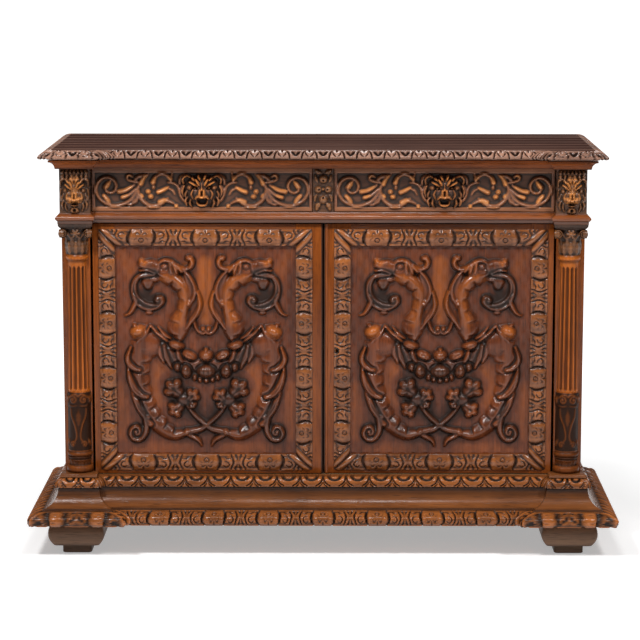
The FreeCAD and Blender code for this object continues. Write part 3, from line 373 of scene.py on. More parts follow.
class Carving:
    """A carved surface: heights in millimetres over a flat ground, on a fine grid of points."""

    def __init__(self, wide, tall, step):
        self.wide = wide
        self.tall = tall
        self.step = step
        self.u = np.linspace(0, wide, round(wide / step) + 1)
        self.v = np.linspace(0, tall, round(tall / step) + 1)
        self.h = np.zeros((len(self.v), len(self.u)))
        self.tone = np.zeros_like(self.h)

    def near(self, points, reach):
        """The rows and columns of the grid within reach of some points."""
        low = points.min(axis=0) - reach
        high = points.max(axis=0) + reach
        cols = slice(*np.searchsorted(self.u, [low[0], high[0]]))
        rows = slice(*np.searchsorted(self.v, [low[1], high[1]]))
        return rows, cols

    def swept(self, points, widths, heights, shape):
        """The height of a rounded ridge along a line, for each part of the grid it crosses."""
        line = smooth_line(points)
        t = np.linspace(0, 1, len(line))
        w = spread(widths, t)
        k = spread(heights, t)
        total = np.zeros_like(self.h)
        for start in range(0, len(line), 12):
            run = slice(start, start + 12)
            rows, cols = self.near(line[run], w[run].max())
            du = self.u[cols][None, :, None] - line[run, 0]
            dv = self.v[rows][:, None, None] - line[run, 1]
            if du.size and dv.size:
                q = np.minimum(np.sqrt(du * du + dv * dv) / w[run], 1)
                total[rows, cols] = np.maximum(total[rows, cols], (k[run] * (1 - q**shape)).max(axis=2))
        return total

    def rib(self, points, widths, heights, shape=2.4):
        """A rounded ridge along a line, with half widths and heights from end to end."""
        self.h = np.maximum(self.h, self.swept(points, widths, heights, shape))

    def groove(self, points, widths, depths, shape=2.0):
        """A rounded cut along a line."""
        self.h = self.h - self.swept(points, widths, depths, shape)

    def knob(self, u, v, ru, rv, high, turn=0, shape=2.3, sink=False):
        """A rounded boss, turned anticlockwise by some degrees, or a hollow of that form."""
        c, s = math.cos(math.radians(turn)), math.sin(math.radians(turn))
        du = self.u[None, :] - u
        dv = self.v[:, None] - v
        q = np.sqrt(((du * c + dv * s) / ru) ** 2 + ((dv * c - du * s) / rv) ** 2)
        form = high * (1 - np.minimum(q, 1) ** shape)
        self.h = self.h - form if sink else np.maximum(self.h, form)

    def strip(self, points, widths, height):
        """A shaped band along a line: height(t, s, along) from the place along and across it."""
        line = smooth_line(points, 0.9)
        t = np.linspace(0, 1, len(line))
        w = spread(widths, t)
        along = distances(line)
        way = np.gradient(line, axis=0)
        rows, cols = self.near(line, w.max())
        for start in range(rows.start, rows.stop, 16):
            part = slice(start, min(start + 16, rows.stop))
            du = self.u[cols][None, :, None] - line[:, 0]
            dv = self.v[part][:, None, None] - line[:, 1]
            spot = (du * du + dv * dv).argmin(axis=2)
            du = self.u[cols][None, :] - line[spot, 0]
            dv = self.v[part][:, None] - line[spot, 1]
            side = np.sign(way[spot, 0] * dv - way[spot, 1] * du)
            s = side * np.hypot(du, dv) / w[spot]
            form = np.where(np.abs(s) < 1, height(t[spot], np.clip(s, -1, 1), along[spot]), 0)
            self.h[part, cols] = np.maximum(self.h[part, cols], form)

    def leaf(self, points, width, high, lobes=3, low=0.5):
        """A leaf along its rib, with lobed edges, a cut vein and rounded lobes."""

        def form(t, s, along):
            swell = np.sin(np.pi * np.clip(0.1 + 0.9 * t, 0, 1)) ** 0.6
            edge = 0.74 + 0.26 * np.abs(np.sin(np.pi * lobes * (t - 0.12 * np.abs(s))))
            edge = np.maximum(swell * edge, 0.02)
            q = np.minimum(np.abs(s) / edge, 1)
            body = 1 - q**2.2
            vein = 1 - 0.35 * np.exp(-((s / 0.13) ** 2)) * (1 - t)
            folds = 0.84 + 0.16 * np.abs(np.sin(np.pi * lobes * (t - 0.25 * np.abs(s))))
            return high * (low + (1 - low) * np.sin(np.pi * (0.15 + 0.7 * t))) * body * vein * folds

        self.strip(points, width, form)

    def scroll(self, u, v, radius, turns, start, width, high, way):
        """A spiral that winds in to a bud from its outer end, which stands at an angle."""
        a = np.linspace(0, 1, 10 + int(14 * turns))
        r = radius * (1 - 0.74 * a)
        angle = math.radians(start) + way * 2 * math.pi * turns * a
        line = np.column_stack([u + r * np.cos(angle), v + r * np.sin(angle)])
        self.rib(line, [width, width * 0.6], [high * 0.85, high])
        self.knob(u, v, radius * 0.3, radius * 0.3, high * 1.1)

    def stain(self, points, widths, amount):
        """Rubs the finish golden along a line, or darkens it where the amount is below 0."""
        self.tone = self.tone + np.sign(amount) * self.swept(points, widths, abs(amount), 2.0)

    def paired(self, drawn, cuts):
        """Cuts on both sides of the middle: points as steps out, drawn for some length, and shares of the
        width, then half widths and depths."""
        for side in (-1, 1):
            for points, widths, depths in cuts:
                line = [(self.wide / 2 + side * d * self.wide / drawn, f * self.tall) for d, f in points]
                self.groove(line, widths, depths)

    def mirror(self):
        """Repeats the left half on the right."""
        self.tone, self.h = [
            np.where(np.abs(field) >= np.abs(field[:, ::-1]), field, field[:, ::-1])
            for field in (self.tone, self.h)]

    def lowered(self, reach):
        """Brings the carving down to its ground over some reach from the edges."""
        edge = np.minimum.outer(np.minimum(self.v, self.tall - self.v),
                                np.minimum(self.u, self.wide - self.u))
        self.h = self.h * np.clip(edge / reach, 0, 1)

    def sample(self, u, v):
        """Heights at any places, read between the grid's points."""
        x = np.clip(u / self.wide * (len(self.u) - 1), 0, len(self.u) - 1.001)
        y = np.clip(v / self.tall * (len(self.v) - 1), 0, len(self.v) - 1.001)
        i, j = x.astype(int), y.astype(int)
        fx, fy = x - i, y - j
        low = self.h[j, i] * (1 - fx) + self.h[j, i + 1] * fx
        high = self.h[j + 1, i] * (1 - fx) + self.h[j + 1, i + 1] * fx
        return low * (1 - fy) + high * fy


def moulding(name, path, profile, carved, place, cutting=None, gap=None, closed=False, wall=(), shade=0.0,
             rub_and_sheen=0.12):
    """A moulding: a profile carried along a path with mitred corners. carved gives the distance across the
    carved face at each profile point, below 0 where it is plain, and cutting gives the heights there. The
    path's points in wall stand square to a wall, along which the last leg is plain."""
    path = np.array(path, float)
    profile = np.array(profile, float)
    count = len(path)
    legs = count if closed else count - 1
    steps = [path[(i + 1) % count] - path[i] for i in range(legs)]
    lengths = [np.hypot(*s) for s in steps]
    ways = [s / l for s, l in zip(steps, lengths)]
    outs = [np.array([w[1], -w[0]]) for w in ways]
    mitres = []
    for i in range(count):
        before = outs[i - 1] if closed or i > 0 else outs[0]
        after = outs[i] if i < legs else outs[-1]
        mitres.append((before + after) / (1 + before @ after))
    for i in wall:
        mitres[i] = outs[i] if i == 0 else outs[i - 1]
    tangent = np.roll(profile, -1, axis=0) - np.roll(profile, 1, axis=0)
    if wall:
        tangent = np.gradient(profile, axis=0)
    tangent = tangent / np.maximum(np.hypot(*tangent.T), 0.001)[:, None]
    face = np.asarray(carved, float) >= 0
    rings, heights = [], []
    for i in range(legs):
        j = (i + 1) % count
        plain = wall and i == legs - 1
        parts = max(1, math.ceil(lengths[i] / gap)) if gap and not plain else 1
        t = np.linspace(0, 1, parts + 1)[:, None]
        if closed or i < legs - 1:
            t = t[:-1]
        corner = path[i] + t * steps[i]
        mitre = mitres[i] + t * (mitres[j] - mitres[i])
        spot = corner[:, None] + profile[None, :, :1] * mitre[:, None]
        along = (spot - (path[i] + path[j]) / 2) @ ways[i]
        leg = lengths[i] + profile[:, 0] * ((mitres[j] - mitres[i]) @ ways[i])
        h = np.zeros(along.shape)
        if cutting is not None and not plain:
            ends = np.minimum(t, 1 - t) * leg
            h = np.where(face, cutting(i, along, ends, np.maximum(carved, 0)), 0)
        spread = profile[:, 0] + h * tangent[:, 1]
        level = profile[:, 1] - h * tangent[:, 0]
        rings.append(place(corner[:, None] + spread[..., None] * mitre[:, None], level))
        heights.append(h)
    rings = np.concatenate(rings)
    h = np.concatenate(heights)
    wide = soften(h, 3)
    wear = np.where(face, np.clip(rub_and_sheen + (h - wide) * 0.4, 0, 1), 0)
    # The dirt here is painted shade in the cuts, darker the deeper they go, and at the profile's shaded
    # creases, with dark wax in them.
    dirt_and_shade = np.where(face, np.clip((wide - h) * 0.5 - h * 0.12, 0, 1), 0)
    dirt_and_shade = np.clip(dirt_and_shade + shade, 0, 1)
    if wall:
        return skin(name, np.swapaxes(rings, 0, 1), False, wear.T, dirt_and_shade.T)
    return skin(name, rings, closed, wear, dirt_and_shade)


def level_place(spot, level):
    """Puts a moulding's points round the case, which stands on the floor."""
    return np.concatenate([spot, np.broadcast_to(level, spot.shape[:2])[..., None]], axis=2)


def boss_unit(long, wide):
    """One repeat of boss, lunettes and leaf straps, cut into a rounded edge; v grows from the boss's side."""
    unit = Carving(long, wide, 0.7)
    c = long / 2
    drawn = 148
    unit.paired(drawn, (
        ([(25, 1.0), (30, 0.8), (32, 0.5), (30, 0.2), (25, 0.0)],
         [1.9, 2.8, 3.3, 2.8, 1.9], [3.0, 4.6, 5.4, 4.6, 3.0]),
        ([(39, 0.72), (46, 0.84), (53, 0.7), (50, 0.5), (43, 0.42)], [1.2, 2.0, 1.4], [1.5, 3.2, 2.0]),
        ([(41, 0.12), (48, 0.26), (58, 0.22)], [1.2, 2.0, 1.0], [1.5, 2.6, 1.0]),
        ([(57, 0.97), (63, 0.5), (57, 0.03)], [2.0, 2.6, 2.0], [3.0, 3.8, 3.0]),
        ([(68, 0.95), (72, 0.62)], [3.2, 0.8], [3.6, 1.0]),
        ([(68, 0.05), (72, 0.36)], [3.2, 0.8], [3.6, 1.0]),
        ([(13, 0.6), (9, 0.78), (3, 0.66)], [1.0, 1.8, 1.0], [1.0, 2.4, 1.4]),
        ([(16, 0.34), (11, 0.5)], [0.8, 1.3], [0.8, 1.6])))
    unit.groove([(c, 0.72 * wide), (c, 0.92 * wide)], [1.0, 2.2], [1.4, 2.6])
    away = np.abs(unit.u - c) * drawn / long
    swell = np.interp(away, [0, 12, 20, 24, 28, 36, 52, 74], [0, 0.06, 0.28, 0.56, 1, 0.8, 0.45, 0.7])
    rims = np.clip(np.minimum(unit.v, wide - unit.v) / 5, 0, 1)
    unit.h = unit.h - 4.0 * rims[:, None] * swell
    unit.groove(circle(c, 0.34 * wide, 5.2, 5.2, 14), 1.5, 2.4)
    unit.knob(c, 0.34 * wide, 2.0, 2.0, 1.6, sink=True)
    return unit


def repeated(unit, pitch, corner, strap, lobe=None):
    """Heights of a unit repeated a whole number of times between two carved corners of a leg. With a lobe's
    length, slanting lobes take its place on the sides and the returns."""
    fronts = (1, 3, 5)

    def cutting(leg, along, ends, across):
        if lobe and leg not in fronts:
            slant = (along if leg < 3 else -along) - 0.9 * np.asarray(across)
            low = np.clip((unit.tall - np.asarray(across)) / 3, 0, 1)
            deep = 5.0 + 1.6 * np.sin(along * 0.11 + 0.5)
            return -deep * (1 - np.abs(np.sin(slant / lobe * np.pi)) ** 1.8) * low
        span = along.max() - along.min() - 2 * corner
        if span < pitch * 0.5:
            return -3.5 * (1 - np.abs(np.sin(ends / strap * np.pi)) ** 0.7)
        times = max(2 if lobe else 1, round(span / pitch))
        u = np.mod(along / span * times + times / 2, 1.0) * unit.wide
        h = unit.sample(u, np.broadcast_to(across, u.shape))
        edge = np.clip((ends - corner * 0.85) / (corner * 0.15), 0, 1)
        straps = -4.5 * (1 - np.abs(np.sin(ends / strap * np.pi)) ** 0.7)
        return h * edge + straps * (1 - edge)

    return cutting


def spaced(points, gap):
    """The same line with points no further apart than the gap."""
    line = [points[0]]
    for a, b in zip(points, points[1:]):
        n = max(1, math.ceil(np.hypot(*(np.array(b) - a)) / gap))
        line += [np.array(a) + (np.array(b) - a) * k / n for k in range(1, n + 1)]
    return np.array(line)


case_half, block_front, block_inner, rear = 640.0, -190.0, 566.0, 275.0


def round_front(step=17):
    """The path round the case's left side, front and right side, where the corners stand forward by step."""
    main = block_front + step
    left = [(-case_half, rear), (-case_half, block_front), (-block_inner, block_front),
            (-block_inner, main)]
    return left + [(-x, y) for x, y in reversed(left)]


plinth_walnut = wood("plinth_walnut", "x", (70, 38, 20), (132, 78, 40), rough=0.21)
lower = spaced(arc([(79, 82), (84.7, 88), (84.7, 97, 2.5), (75, 108, 2.0), (51, 114)], 8), 2.0)
upper = arc([(49, 114), (49, 116.5), (45, 117), (45, 119, -8.5), (14, 159), (14, 163)], 18)
profile = np.concatenate([lower, upper, [(-50, 163), (-50, 82)]])
across = distances(lower)
carved = np.concatenate([across[-1] - across, -np.ones(len(upper) + 2)])
shade = np.zeros(len(profile))
shade[len(lower):-2] = np.interp(
    upper[:, 1], [114, 116, 117, 121, 136, 148, 159, 163], [0.8, 0.2, 0.7, 0.0, 0.0, 0.4, 0.55, 0.8])
cutting = repeated(boss_unit(138, across[-1]), 138, 15, 14, 30)
piece = moulding("plinth_moulding", round_front(), profile, carved, level_place, cutting, 2.2, shade=shade)
fixed(piece, "case", plinth_walnut, "carved_wood", "plinth_front", "plinth_left", "plinth_right")

# Base moulding: a walnut ovolo over the plinth, cut with hanging scallops and small leaf triangles. It
# runs round the front and sides with mitred corners, and the column blocks stand on it.


def scallop_unit(long, wide):
    """One repeat of a hanging scallop between two halves of a leaf triangle; v grows from the lower edge."""
    unit = Carving(long, wide, 0.6)
    c = long / 2
    hollow = [(-14, 0.97), (-9, 0.7), (0, 0.6), (9, 0.7), (14, 0.97)]
    unit.groove([(c + d, wide * f) for d, f in hollow], [4.5, 5, 4.5, 5, 4.5], 5.5)
    unit.paired(56, (
        ([(27.5, 0.98), (25.5, 0.6), (20, 0.28), (11, 0.06)], [2.6, 2.4, 2.2, 1.6], 4.0),
        ([(28, 0.5), (24.5, 0.2), (19, 0.0)], [1.2, 1.6, 1.6], [2.5, 3.0, 3.0])))
    return unit


lower = spaced(arc([(22, 167), (22, 172.5, 3.5), (6, 190)], 9), 1.8)
profile = np.concatenate([[(12, 163), (12, 167)], lower, [(-18, 190), (-18, 163)]])
across = distances(lower)
carved = np.concatenate([[-1, -1], across, [-1, -1]])
shade = np.zeros(len(profile))
shade[[0, 1, -3]] = (0.9, 0.9, 0.35)
cutting = repeated(scallop_unit(56, across[-1]), 56, 14, 7)
piece = moulding("base_moulding_carved", round_front(), profile, carved, level_place, cutting, 1.9,
                 shade=shade)
fixed(piece, "case", plinth_walnut, "carved_wood", "base_moulding")


def eased(node, body, material, slot="carved_wood", width=0.9):
    """A plain board of the frame with its sharp edges eased: a merged copy, bevelled along them."""
    piece = bpy.data.objects.new(node + "_eased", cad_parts[node].data.copy())
    scene.collection.objects.link(piece)
    alone(piece)
    bpy.ops.object.mode_set(mode="EDIT")
    bpy.ops.mesh.select_mode(type="EDGE")
    bpy.ops.mesh.select_all(action="SELECT")
    bpy.ops.mesh.remove_doubles(threshold=0.000002)
    bpy.ops.mesh.dissolve_limited(angle_limit=math.radians(1))
    bpy.ops.mesh.select_all(action="DESELECT")
    bpy.ops.mesh.edges_select_sharp(sharpness=math.radians(35))
    bpy.ops.mesh.bevel(offset=width / 1000, segments=2, affect="EDGES", clamp_overlap=True)
    bpy.ops.object.mode_set(mode="OBJECT")
    return fixed(piece, body, material, slot, node, angle=35)


eased("pedestal_blocks", "case", plinth_walnut, width=1.5)

# Case: walnut posts, side rails and side panels, with plainer boards for the back, floor, shelf and
# runners. The boards are jointed into the posts, and the inner wood is left unwaxed.
frame_upright = wood("frame_upright", "z", (80, 36, 12), (146, 76, 26), rough=0.21)
frame_level = wood("frame_level", "x", (74, 34, 14), (142, 76, 32), rough=0.2, gloss=0.5)
side_level = wood("side_level", "y", (88, 42, 16), (150, 82, 34), rough=0.32)
inner_level, inner_deep = [
    wood(name, along, (104, 76, 52), (146, 112, 78), recess=(58, 40, 27), rough=0.62, gloss=0.2)
    for name, along in (("inner_level", "x"), ("inner_deep", "y"))]
inner_upright = wood("inner_upright", "z", (92, 66, 45), (134, 102, 72), recess=(52, 37, 26), rough=0.66,
                     gloss=0.2)
for side in ("left", "right"):
    for board in ("post", "rear_post", "side_rails", "side_panel"):
        eased(f"{board}_{side}", "case", side_level if board == "side_rails" else frame_upright)
eased("back_boards", "case", inner_upright, "inner_wood", 1.2)
board_pitch = 213.583
for number in range(5):
    x = (number - 2) * board_pitch
    rows = [[(x - 2, 266, z), (x + 2, 266, z), (x + 2, 270, z), (x - 2, 270, z)] for z in (163.5, 979.5)]
    fixed(skin(f"back_tongue_{number + 1}", rows), "case", inner_upright, "inner_wood")
for board, material, width in (
        ("plinth_back", inner_level, 0.9), ("cupboard_floor", inner_level, 0.9),
        ("shelf", inner_level, 1.2), ("shelf_battens", inner_deep, 0.9), ("drawer_runners", inner_deep, 0.9)):
    eased(board, "case", material, "inner_wood", width)

# Waist moulding and drawer rail: a plain walnut half round with a slope over it, mitred round the front
# and sides, in front of the rail that carries the drawers.
eased("drawer_rail", "case", frame_level)
profile = np.concatenate([
    arc([(5.4, 820), (5.4, 826), (6, 827, 4.6), (6, 840), (4.5, 841), (0.8, 846)], 12),
    [(-5, 846), (-5, 820)]])
shade = np.zeros(len(profile))
shade[[0, 1, 2, 3, -3]] = (0.7, 0.6, 0.5, 0.3, 0.5)
plain = -np.ones(len(profile))
piece = moulding("waist_moulding_turned", round_front(30), profile, plain, level_place, shade=shade)
fixed(piece, "case", frame_level, "carved_wood", "waist_moulding")

# Frieze blocks: two walnut corner blocks, each carved with a grotesque lion mask under a thick fringe, and a
# narrow block between the drawers with four drilled flowers. They are fixed over the posts and divider.
frieze_low, frieze_tall = 846, 108
carved_dark = wood("carved_dark_walnut", "x", (54, 36, 26), (112, 74, 50), worn=(200, 128, 66), rough=0.24,
                   coat=0.3)


def carved_board(name, work, left, low, face, depth, strength=1.0, body="case", material=carved_dark,
                 nodes=()):
    """A board whose front is carved: a grid moved to its heights, the edge drawn back and closed."""
    h = work.h
    close = soften(h, max(1, round(2.2 / work.step)))
    wide = soften(h, max(2, round(5 / work.step)))
    far = soften(h, max(3, round(18 / work.step)))
    slope = np.hypot(*np.gradient(h, work.step))
    wear = np.clip((h - far) * 0.035 + (h - close) * 0.14, 0, 1) * strength + np.clip(work.tone, 0, 1)
    # The dirt is painted shade round the feet of the forms, in narrow hollows and on steep sides, with the
    # tone's dark wax added after.
    dirt_and_shade = (wide - h) * 0.09 + (close - h) * 0.6 + np.clip(slope - 1, 0, 1) * 0.14
    dirt_and_shade = np.clip(np.clip(dirt_and_shade, -0.3, 1) + np.clip(-work.tone, -0.35, 1), 0, 0.94)
    place = np.empty(h.shape + (3,))
    place[..., 0] = left + work.u
    place[..., 1] = face - h
    place[..., 2] = (low + work.v)[:, None]
    piece = grid(name, place)
    aged(piece, wear, dirt_and_shade, np.minimum((h - close) * 1.6, 0.75) + np.clip(h / 10, 0, 0.1))
    bpy.ops.object.mode_set(mode="EDIT")
    bpy.ops.mesh.select_mode(type="EDGE")
    bpy.ops.mesh.select_all(action="DESELECT")
    bpy.ops.mesh.select_non_manifold()
    bpy.ops.mesh.extrude_edges_move(TRANSFORM_OT_translate={"value": (0.0, depth / 1000, 0.0)})
    filled()
    return fixed(piece, body, material, "carved_wood", *nodes, angle=60)


def lion_mask(work, u, v, across, up, high, beard=False):
    """A lion's face: brows that fan out from the nose, deep eyes, a broad muzzle over an open mouth, curled
    ears and a mane. It is drawn 100 wide and 85 tall."""
    k = (across + up) / 2
    at = lambda points: [(u + a * across, v + b * up) for a, b in points]

    def boss(a, b, ru, rv, share, turn=0, sink=False):
        """A rounded part of the face or a hollow in it, with its height as a share of the face's."""
        work.knob(*at([(a, b)])[0], ru * across, rv * up, high * share, turn, sink=sink)

    def rubbed(points, widths, amount):
        """Rubbed gold along a line."""
        work.stain(at(points), np.array(widths) * k, amount)

    def curl(points, widths, heights, gold=0.0):
        """One lock, brow or lip, with its heights as shares of the face's and its rubbed gold."""
        work.rib(at(points), np.array(widths) * k, np.array(heights) * high, 2.0)
        rubbed(points, widths, gold)

    # the mane and ears from the outside in, then tufts, brows, the nose's sides, the lip and the cheek
    locks = (
        ([(31, 31), (40, 34), (49, 26), (48, 14)], [3.5, 4.6, 4.6, 3], [0.38, 0.46, 0.44, 0.3]),
        ([(46, 8), (51, -6), (47, -20)], [3, 4.6, 2.6], [0.3, 0.38, 0.25]),
        ([(38, -4), (43, -14), (40, -25)], [3, 4.2, 2.4], [0.32, 0.4, 0.25]),
        ([(37, -20), (43, -30), (39, -42)], [3, 4.6, 2.4], [0.3, 0.38, 0.22]),
        ([(29, -26), (31, -36), (26, -46)], [3, 4.4, 2.4], [0.32, 0.38, 0.22]),
        ([(9, 33), (6.5, 27), (4, 21)], [4.6, 4.6, 2], [0.52, 0.64, 0.44], 0.7),
        ([(25, 28), (21, 24), (17, 20)], [4.4, 4.2, 2.4], [0.5, 0.6, 0.42], 0.7),
        ([(31, 18), (21, 13), (11, 7.5)], [3.4, 4.6, 2.8], [0.6, 0.82, 0.62], 0.8),
        ([(15, 24), (11, 18), (7.5, 11)], [3.4, 5.2, 4], [0.64, 0.86, 0.76], 0.8),
        ([(5, -3), (6, -12), (6.5, -18)], [4.6, 5.8, 6], [0.78, 0.96, 0.92], 0.9),
        ([(4, -17), (11, -18), (17, -24)], [5, 6.4, 3.8], [0.9, 0.84, 0.6], 0.7),
        ([(23, -2), (27, -13), (22, -25)], [4, 5.4, 3], [0.5, 0.56, 0.4], 0.3))
    boss(0, -3, 47, 41, 0.44)
    rubbed([(0, 26), (0, 4)], [24, 20], 0.45)
    for side in (-1, 1):
        boss(side * 19, 4, 10, 5, 0.2, side * 22, True)
    boss(0, -31, 13, 7, 0.42, sink=True)
    for side in (-1, 1):
        for points, *form in locks:
            curl([(side * a, b) for a, b in points], *form)
        boss(side * 18, 3, 5, 3.4, 0.5, side * 20)
        boss(side * 31, 4, 9, 8, 0.56)
        if beard:
            boss(side * 16, -16, 11, 8, 0.86, side * 25)
            rubbed([(side * 10, -15), (side * 22, -13)], 7, 0.6)
            curl([(side * 8, -40), (side * 11, -46), (side * 8, -50)], [3.6, 4.4, 2.4], [0.5, 0.5, 0.3])
    curl([(0, 16), (0, 6), (0, -2)], [3.6, 4, 6], [0.44, 0.56, 0.74])
    boss(0, -19, 11.5, 6, 1)
    rubbed([(0, -4), (0, -20)], [9, 14], 0.8)
    work.groove(at([(0, -3), (0, -15)]), 1.5 * k, high * 0.14)
    if beard:
        curl(circle(0, -44, 7, 6, 13), [2.6], [0.5])
        curl([(-13, -31), (0, -33), (13, -31)], [2.4, 3.4, 2.4], [0.42, 0.55, 0.42])
    else:
        curl([(-14, -27), (-12, -35), (-7, -40), (0, -41), (7, -40), (12, -35), (14, -27)],
             [2.4, 3.4, 4.2, 4.4, 4.2, 3.4, 2.4], [0.42, 0.54, 0.6, 0.62, 0.6, 0.54, 0.42], 0.4)


work = Carving(case_half - block_inner, frieze_tall, 0.9)
c = work.wide / 2
for row, (level, count) in enumerate(((101, 7), (92, 6), (84, 7))):
    for d in np.linspace(-29, 29, count):
        work.rib([(c + d * 0.9, level + 4), (c + d, level - 2), (c + d * 1.05, level - 8)],
                 [3.0, 4.8, 2.4], [6, 9 + row * 1.5, 4])
lion_mask(work, c, 51, 0.7, 1.0, 23, beard=True)
work.h = np.minimum(soften(work.h, 1), 23.5)
work.lowered(3)
for side, x in (("left", -case_half), ("right", block_inner)):
    carved_board(f"frieze_mask_{side}", work, x, frieze_low, block_front, 35, 0.6,
                 nodes=[f"frieze_block_{side}"])

work = Carving(50, frieze_tall, 0.8)
for u, v, r, hole in ((25, 81, 12, -4), (13, 55, 10.5, 0), (37, 55, 10.5, 0), (25, 30, 12, 5)):
    work.knob(u, v, r, r, 9)
    work.knob(u + (25 - u) * 0.16, v + hole, 2.6, 2.6, 8, sink=True)
work.knob(25, 56, 5, 5, 9)
for side in (-1, 1):
    for points, width, high in (
            ([(8, 22), (14, 14), (17, 3)], 8, 8), ([(6, 95), (13, 98), (20, 104)], 7, 7),
            ([(14, 72), (18, 82), (19, 92)], 5, 6), ([(16, 42), (20, 34), (20, 24)], 5, 6)):
        work.leaf([(25 + side * d, v) for d, v in points], width, high, 2)
work.h = soften(work.h, 1)
work.lowered(2)
carved_board("divider_flowers", work, -25, frieze_low, -160, 55, nodes=["drawer_divider"])

# Cornice and top: a plain walnut cavetto mitred under the top, and a top of flat boards whose sloping edge is
# carved with leaf straps. The top breaks forward over the corners and is fixed down on the cornice.
cornice_walnut = wood("cornice_walnut", "x", (64, 28, 12), (168, 90, 42), rough=0.28, gloss=0.14)
eased("top_rail", "case", frame_level)
profile = np.concatenate([
    arc([(8.4, 954), (9.6, 955.5, -3), (21, 971), (24, 971.4), (24, 975.8), (12, 976), (12, 980)], 10),
    [(-18, 980), (-18, 954)]])
shade = np.zeros(len(profile))
shade[[0, 1, -4, -3]] = 0.6
plain = -np.ones(len(profile))
piece = moulding("cornice_cavetto", round_front(), profile, plain, level_place, shade=shade)
fixed(piece, "case", cornice_walnut, "carved_wood", "cornice")


def strap_unit(long, wide):
    """One repeat of the top's edge: two leaf straps that cross between scooped ovals; v grows from below."""
    unit = Carving(long, wide, 0.6)
    c = long / 2
    for side in (-1, 1):
        unit.knob(c + side * 29 * long / 66, 0.5 * wide, 6.5, wide * 0.34, 5.2, turn=side * 30, sink=True)
    unit.paired(66, (
        ([(6, 0.95), (15, 0.6), (19, 0.05)], [1.4, 3.0, 1.8], [2.2, 4.6, 2.6]),
        ([(2, 0.2), (8, 0.4), (10, 0.66)], [1.1, 2.2, 1.1], [1.8, 3.6, 1.8])))
    unit.groove([(c, 0.55 * wide), (c, 0.95 * wide)], [1.2, 3.0], [1.8, 4.0])
    return unit


# The edge's pale worn colour is partly rubbed wear and partly a painted highlight for the sheen its sloping
# face catches.
top_walnut = wood("top_walnut", "x", (44, 21, 14), (55, 27, 19), worn=(152, 112, 92), rough=0.42,
                  gloss=0.01, coat=1.0)
edge = spaced(arc([(44, 980), (47, 983), (47, 987, 4), (17, 999.98)], 10), 1.8)
across = distances(edge)
cutting = repeated(strap_unit(66, across[-1]), 66, 20, 8)
piece = moulding("top_carved_edge", round_front(), edge, across, level_place, cutting, 1.9, closed=True,
                 wall=(0, 7), rub_and_sheen=0.85 * (across < across[-1]))
fixed(piece, "case", top_walnut, "carved_wood", "top_board")

# Columns: two walnut half columns, turned and then cut. Each has a moulded foot, a drum with lyre straps, a
# ring of paired scrolls and a fluted shaft, and is glued to its post.
column_x, column_y = 603.0, -155.0
drum_low, drum_high = 252, 402
column_walnut = wood("column_walnut", "z", (90, 41, 13), (170, 88, 28), worn=(204, 112, 40), rough=0.24,
                     gloss=0.1, coat=0.35)
foot_shape = [
    (198, 29), (200, 31.6), (204, 33.2), (208, 33.3), (212, 32), (215, 29), (216.5, 26.5), (219, 25),
    (223, 25.4), (227, 27), (229, 28.5), (231, 26.5), (233, 26.5), (234, 28.5), (236.5, 29.5), (238, 28),
    (239, 27), (240, 29.5), (244, 31.6), (248, 30.5), (250, 28.5), (252, 28), (254, 28.6), (358, 28.2),
    (362, 27.8), (364, 29), (397, 28.8), (400, 27.5), (402, 27)]
neck_shape = [
    (716, 23), (721, 23), (723, 23.4), (728, 24.6), (730, 27), (734, 28.2), (738, 27.6), (742, 25.5)]
shape = np.array(foot_shape + neck_shape)
levels = np.concatenate([
    np.arange(198, 252, 1.2), np.arange(252, 404, 1.6), np.arange(404, 416, 1.5), np.arange(416, 704, 12),
    np.arange(704, 716, 1.5), np.arange(716, 742.1, 1.3)])
angles = np.radians(np.linspace(-90, 90, 85))
drum = Carving(92, drum_high - drum_low, 1.0)
for side in (-1, 1):
    x = lambda d: 46 + side * d
    out = lambda points: [(x(d), v) for d, v in points]
    drum.rib(out([(21, 108), (19, 90), (10, 68), (5, 46), (6, 32), (12, 24)]),
             [1.6, 2.2, 2.2, 2.2, 2.0, 2.0], 3.2)
    drum.scroll(x(15.5), 18, 7.5, 1.2, 90 + side * 60, 2.2, 3.6, -side)
    drum.leaf(out([(27, 30), (32, 20), (38, 12)]), 6, 3.2, 2)
    drum.scroll(x(13.5), 130, 10.5, 1.3, 90 - side * 60, 2.6, 4.0, side)
    drum.rib(out([(0, 138), (7, 144), (16, 142), (23, 136)]), [2.0, 3.0, 2.4, 1.6], 3.6)
    drum.leaf(out([(24, 138), (31, 132), (33, 120)]), 6, 4.0, 2)
    drum.leaf(out([(38, 142), (40, 132), (44, 122)]), 6, 3.6, 2)
    drum.rib(out([(4, 116), (14, 114), (26, 116)]), [1.2, 1.8, 1.2], 2.4)
drum.leaf([(46, 100), (46, 86), (46, 64)], 8, 2.0, 3)
drum.h = soften(drum.h, 1)


def half_turned(name, x, around, up, radius, wear, dirt_and_shade):
    """A half round piece at a post: points at some distance from an upright axis, closed along that axis."""
    rows = np.stack([x + radius * np.sin(around), column_y - radius * np.cos(around), up], axis=2)
    axis = np.stack([np.full(len(up), x), np.full(len(up), column_y), up[:, 0]], axis=1)[:, None]
    pad = np.zeros((len(up), 1))
    rows, wear, dirt_and_shade = [
        np.concatenate(pair, axis=1) for pair in ((rows, axis), (wear, pad), (dirt_and_shade, pad))]
    return skin(name, rows, False, wear, dirt_and_shade)


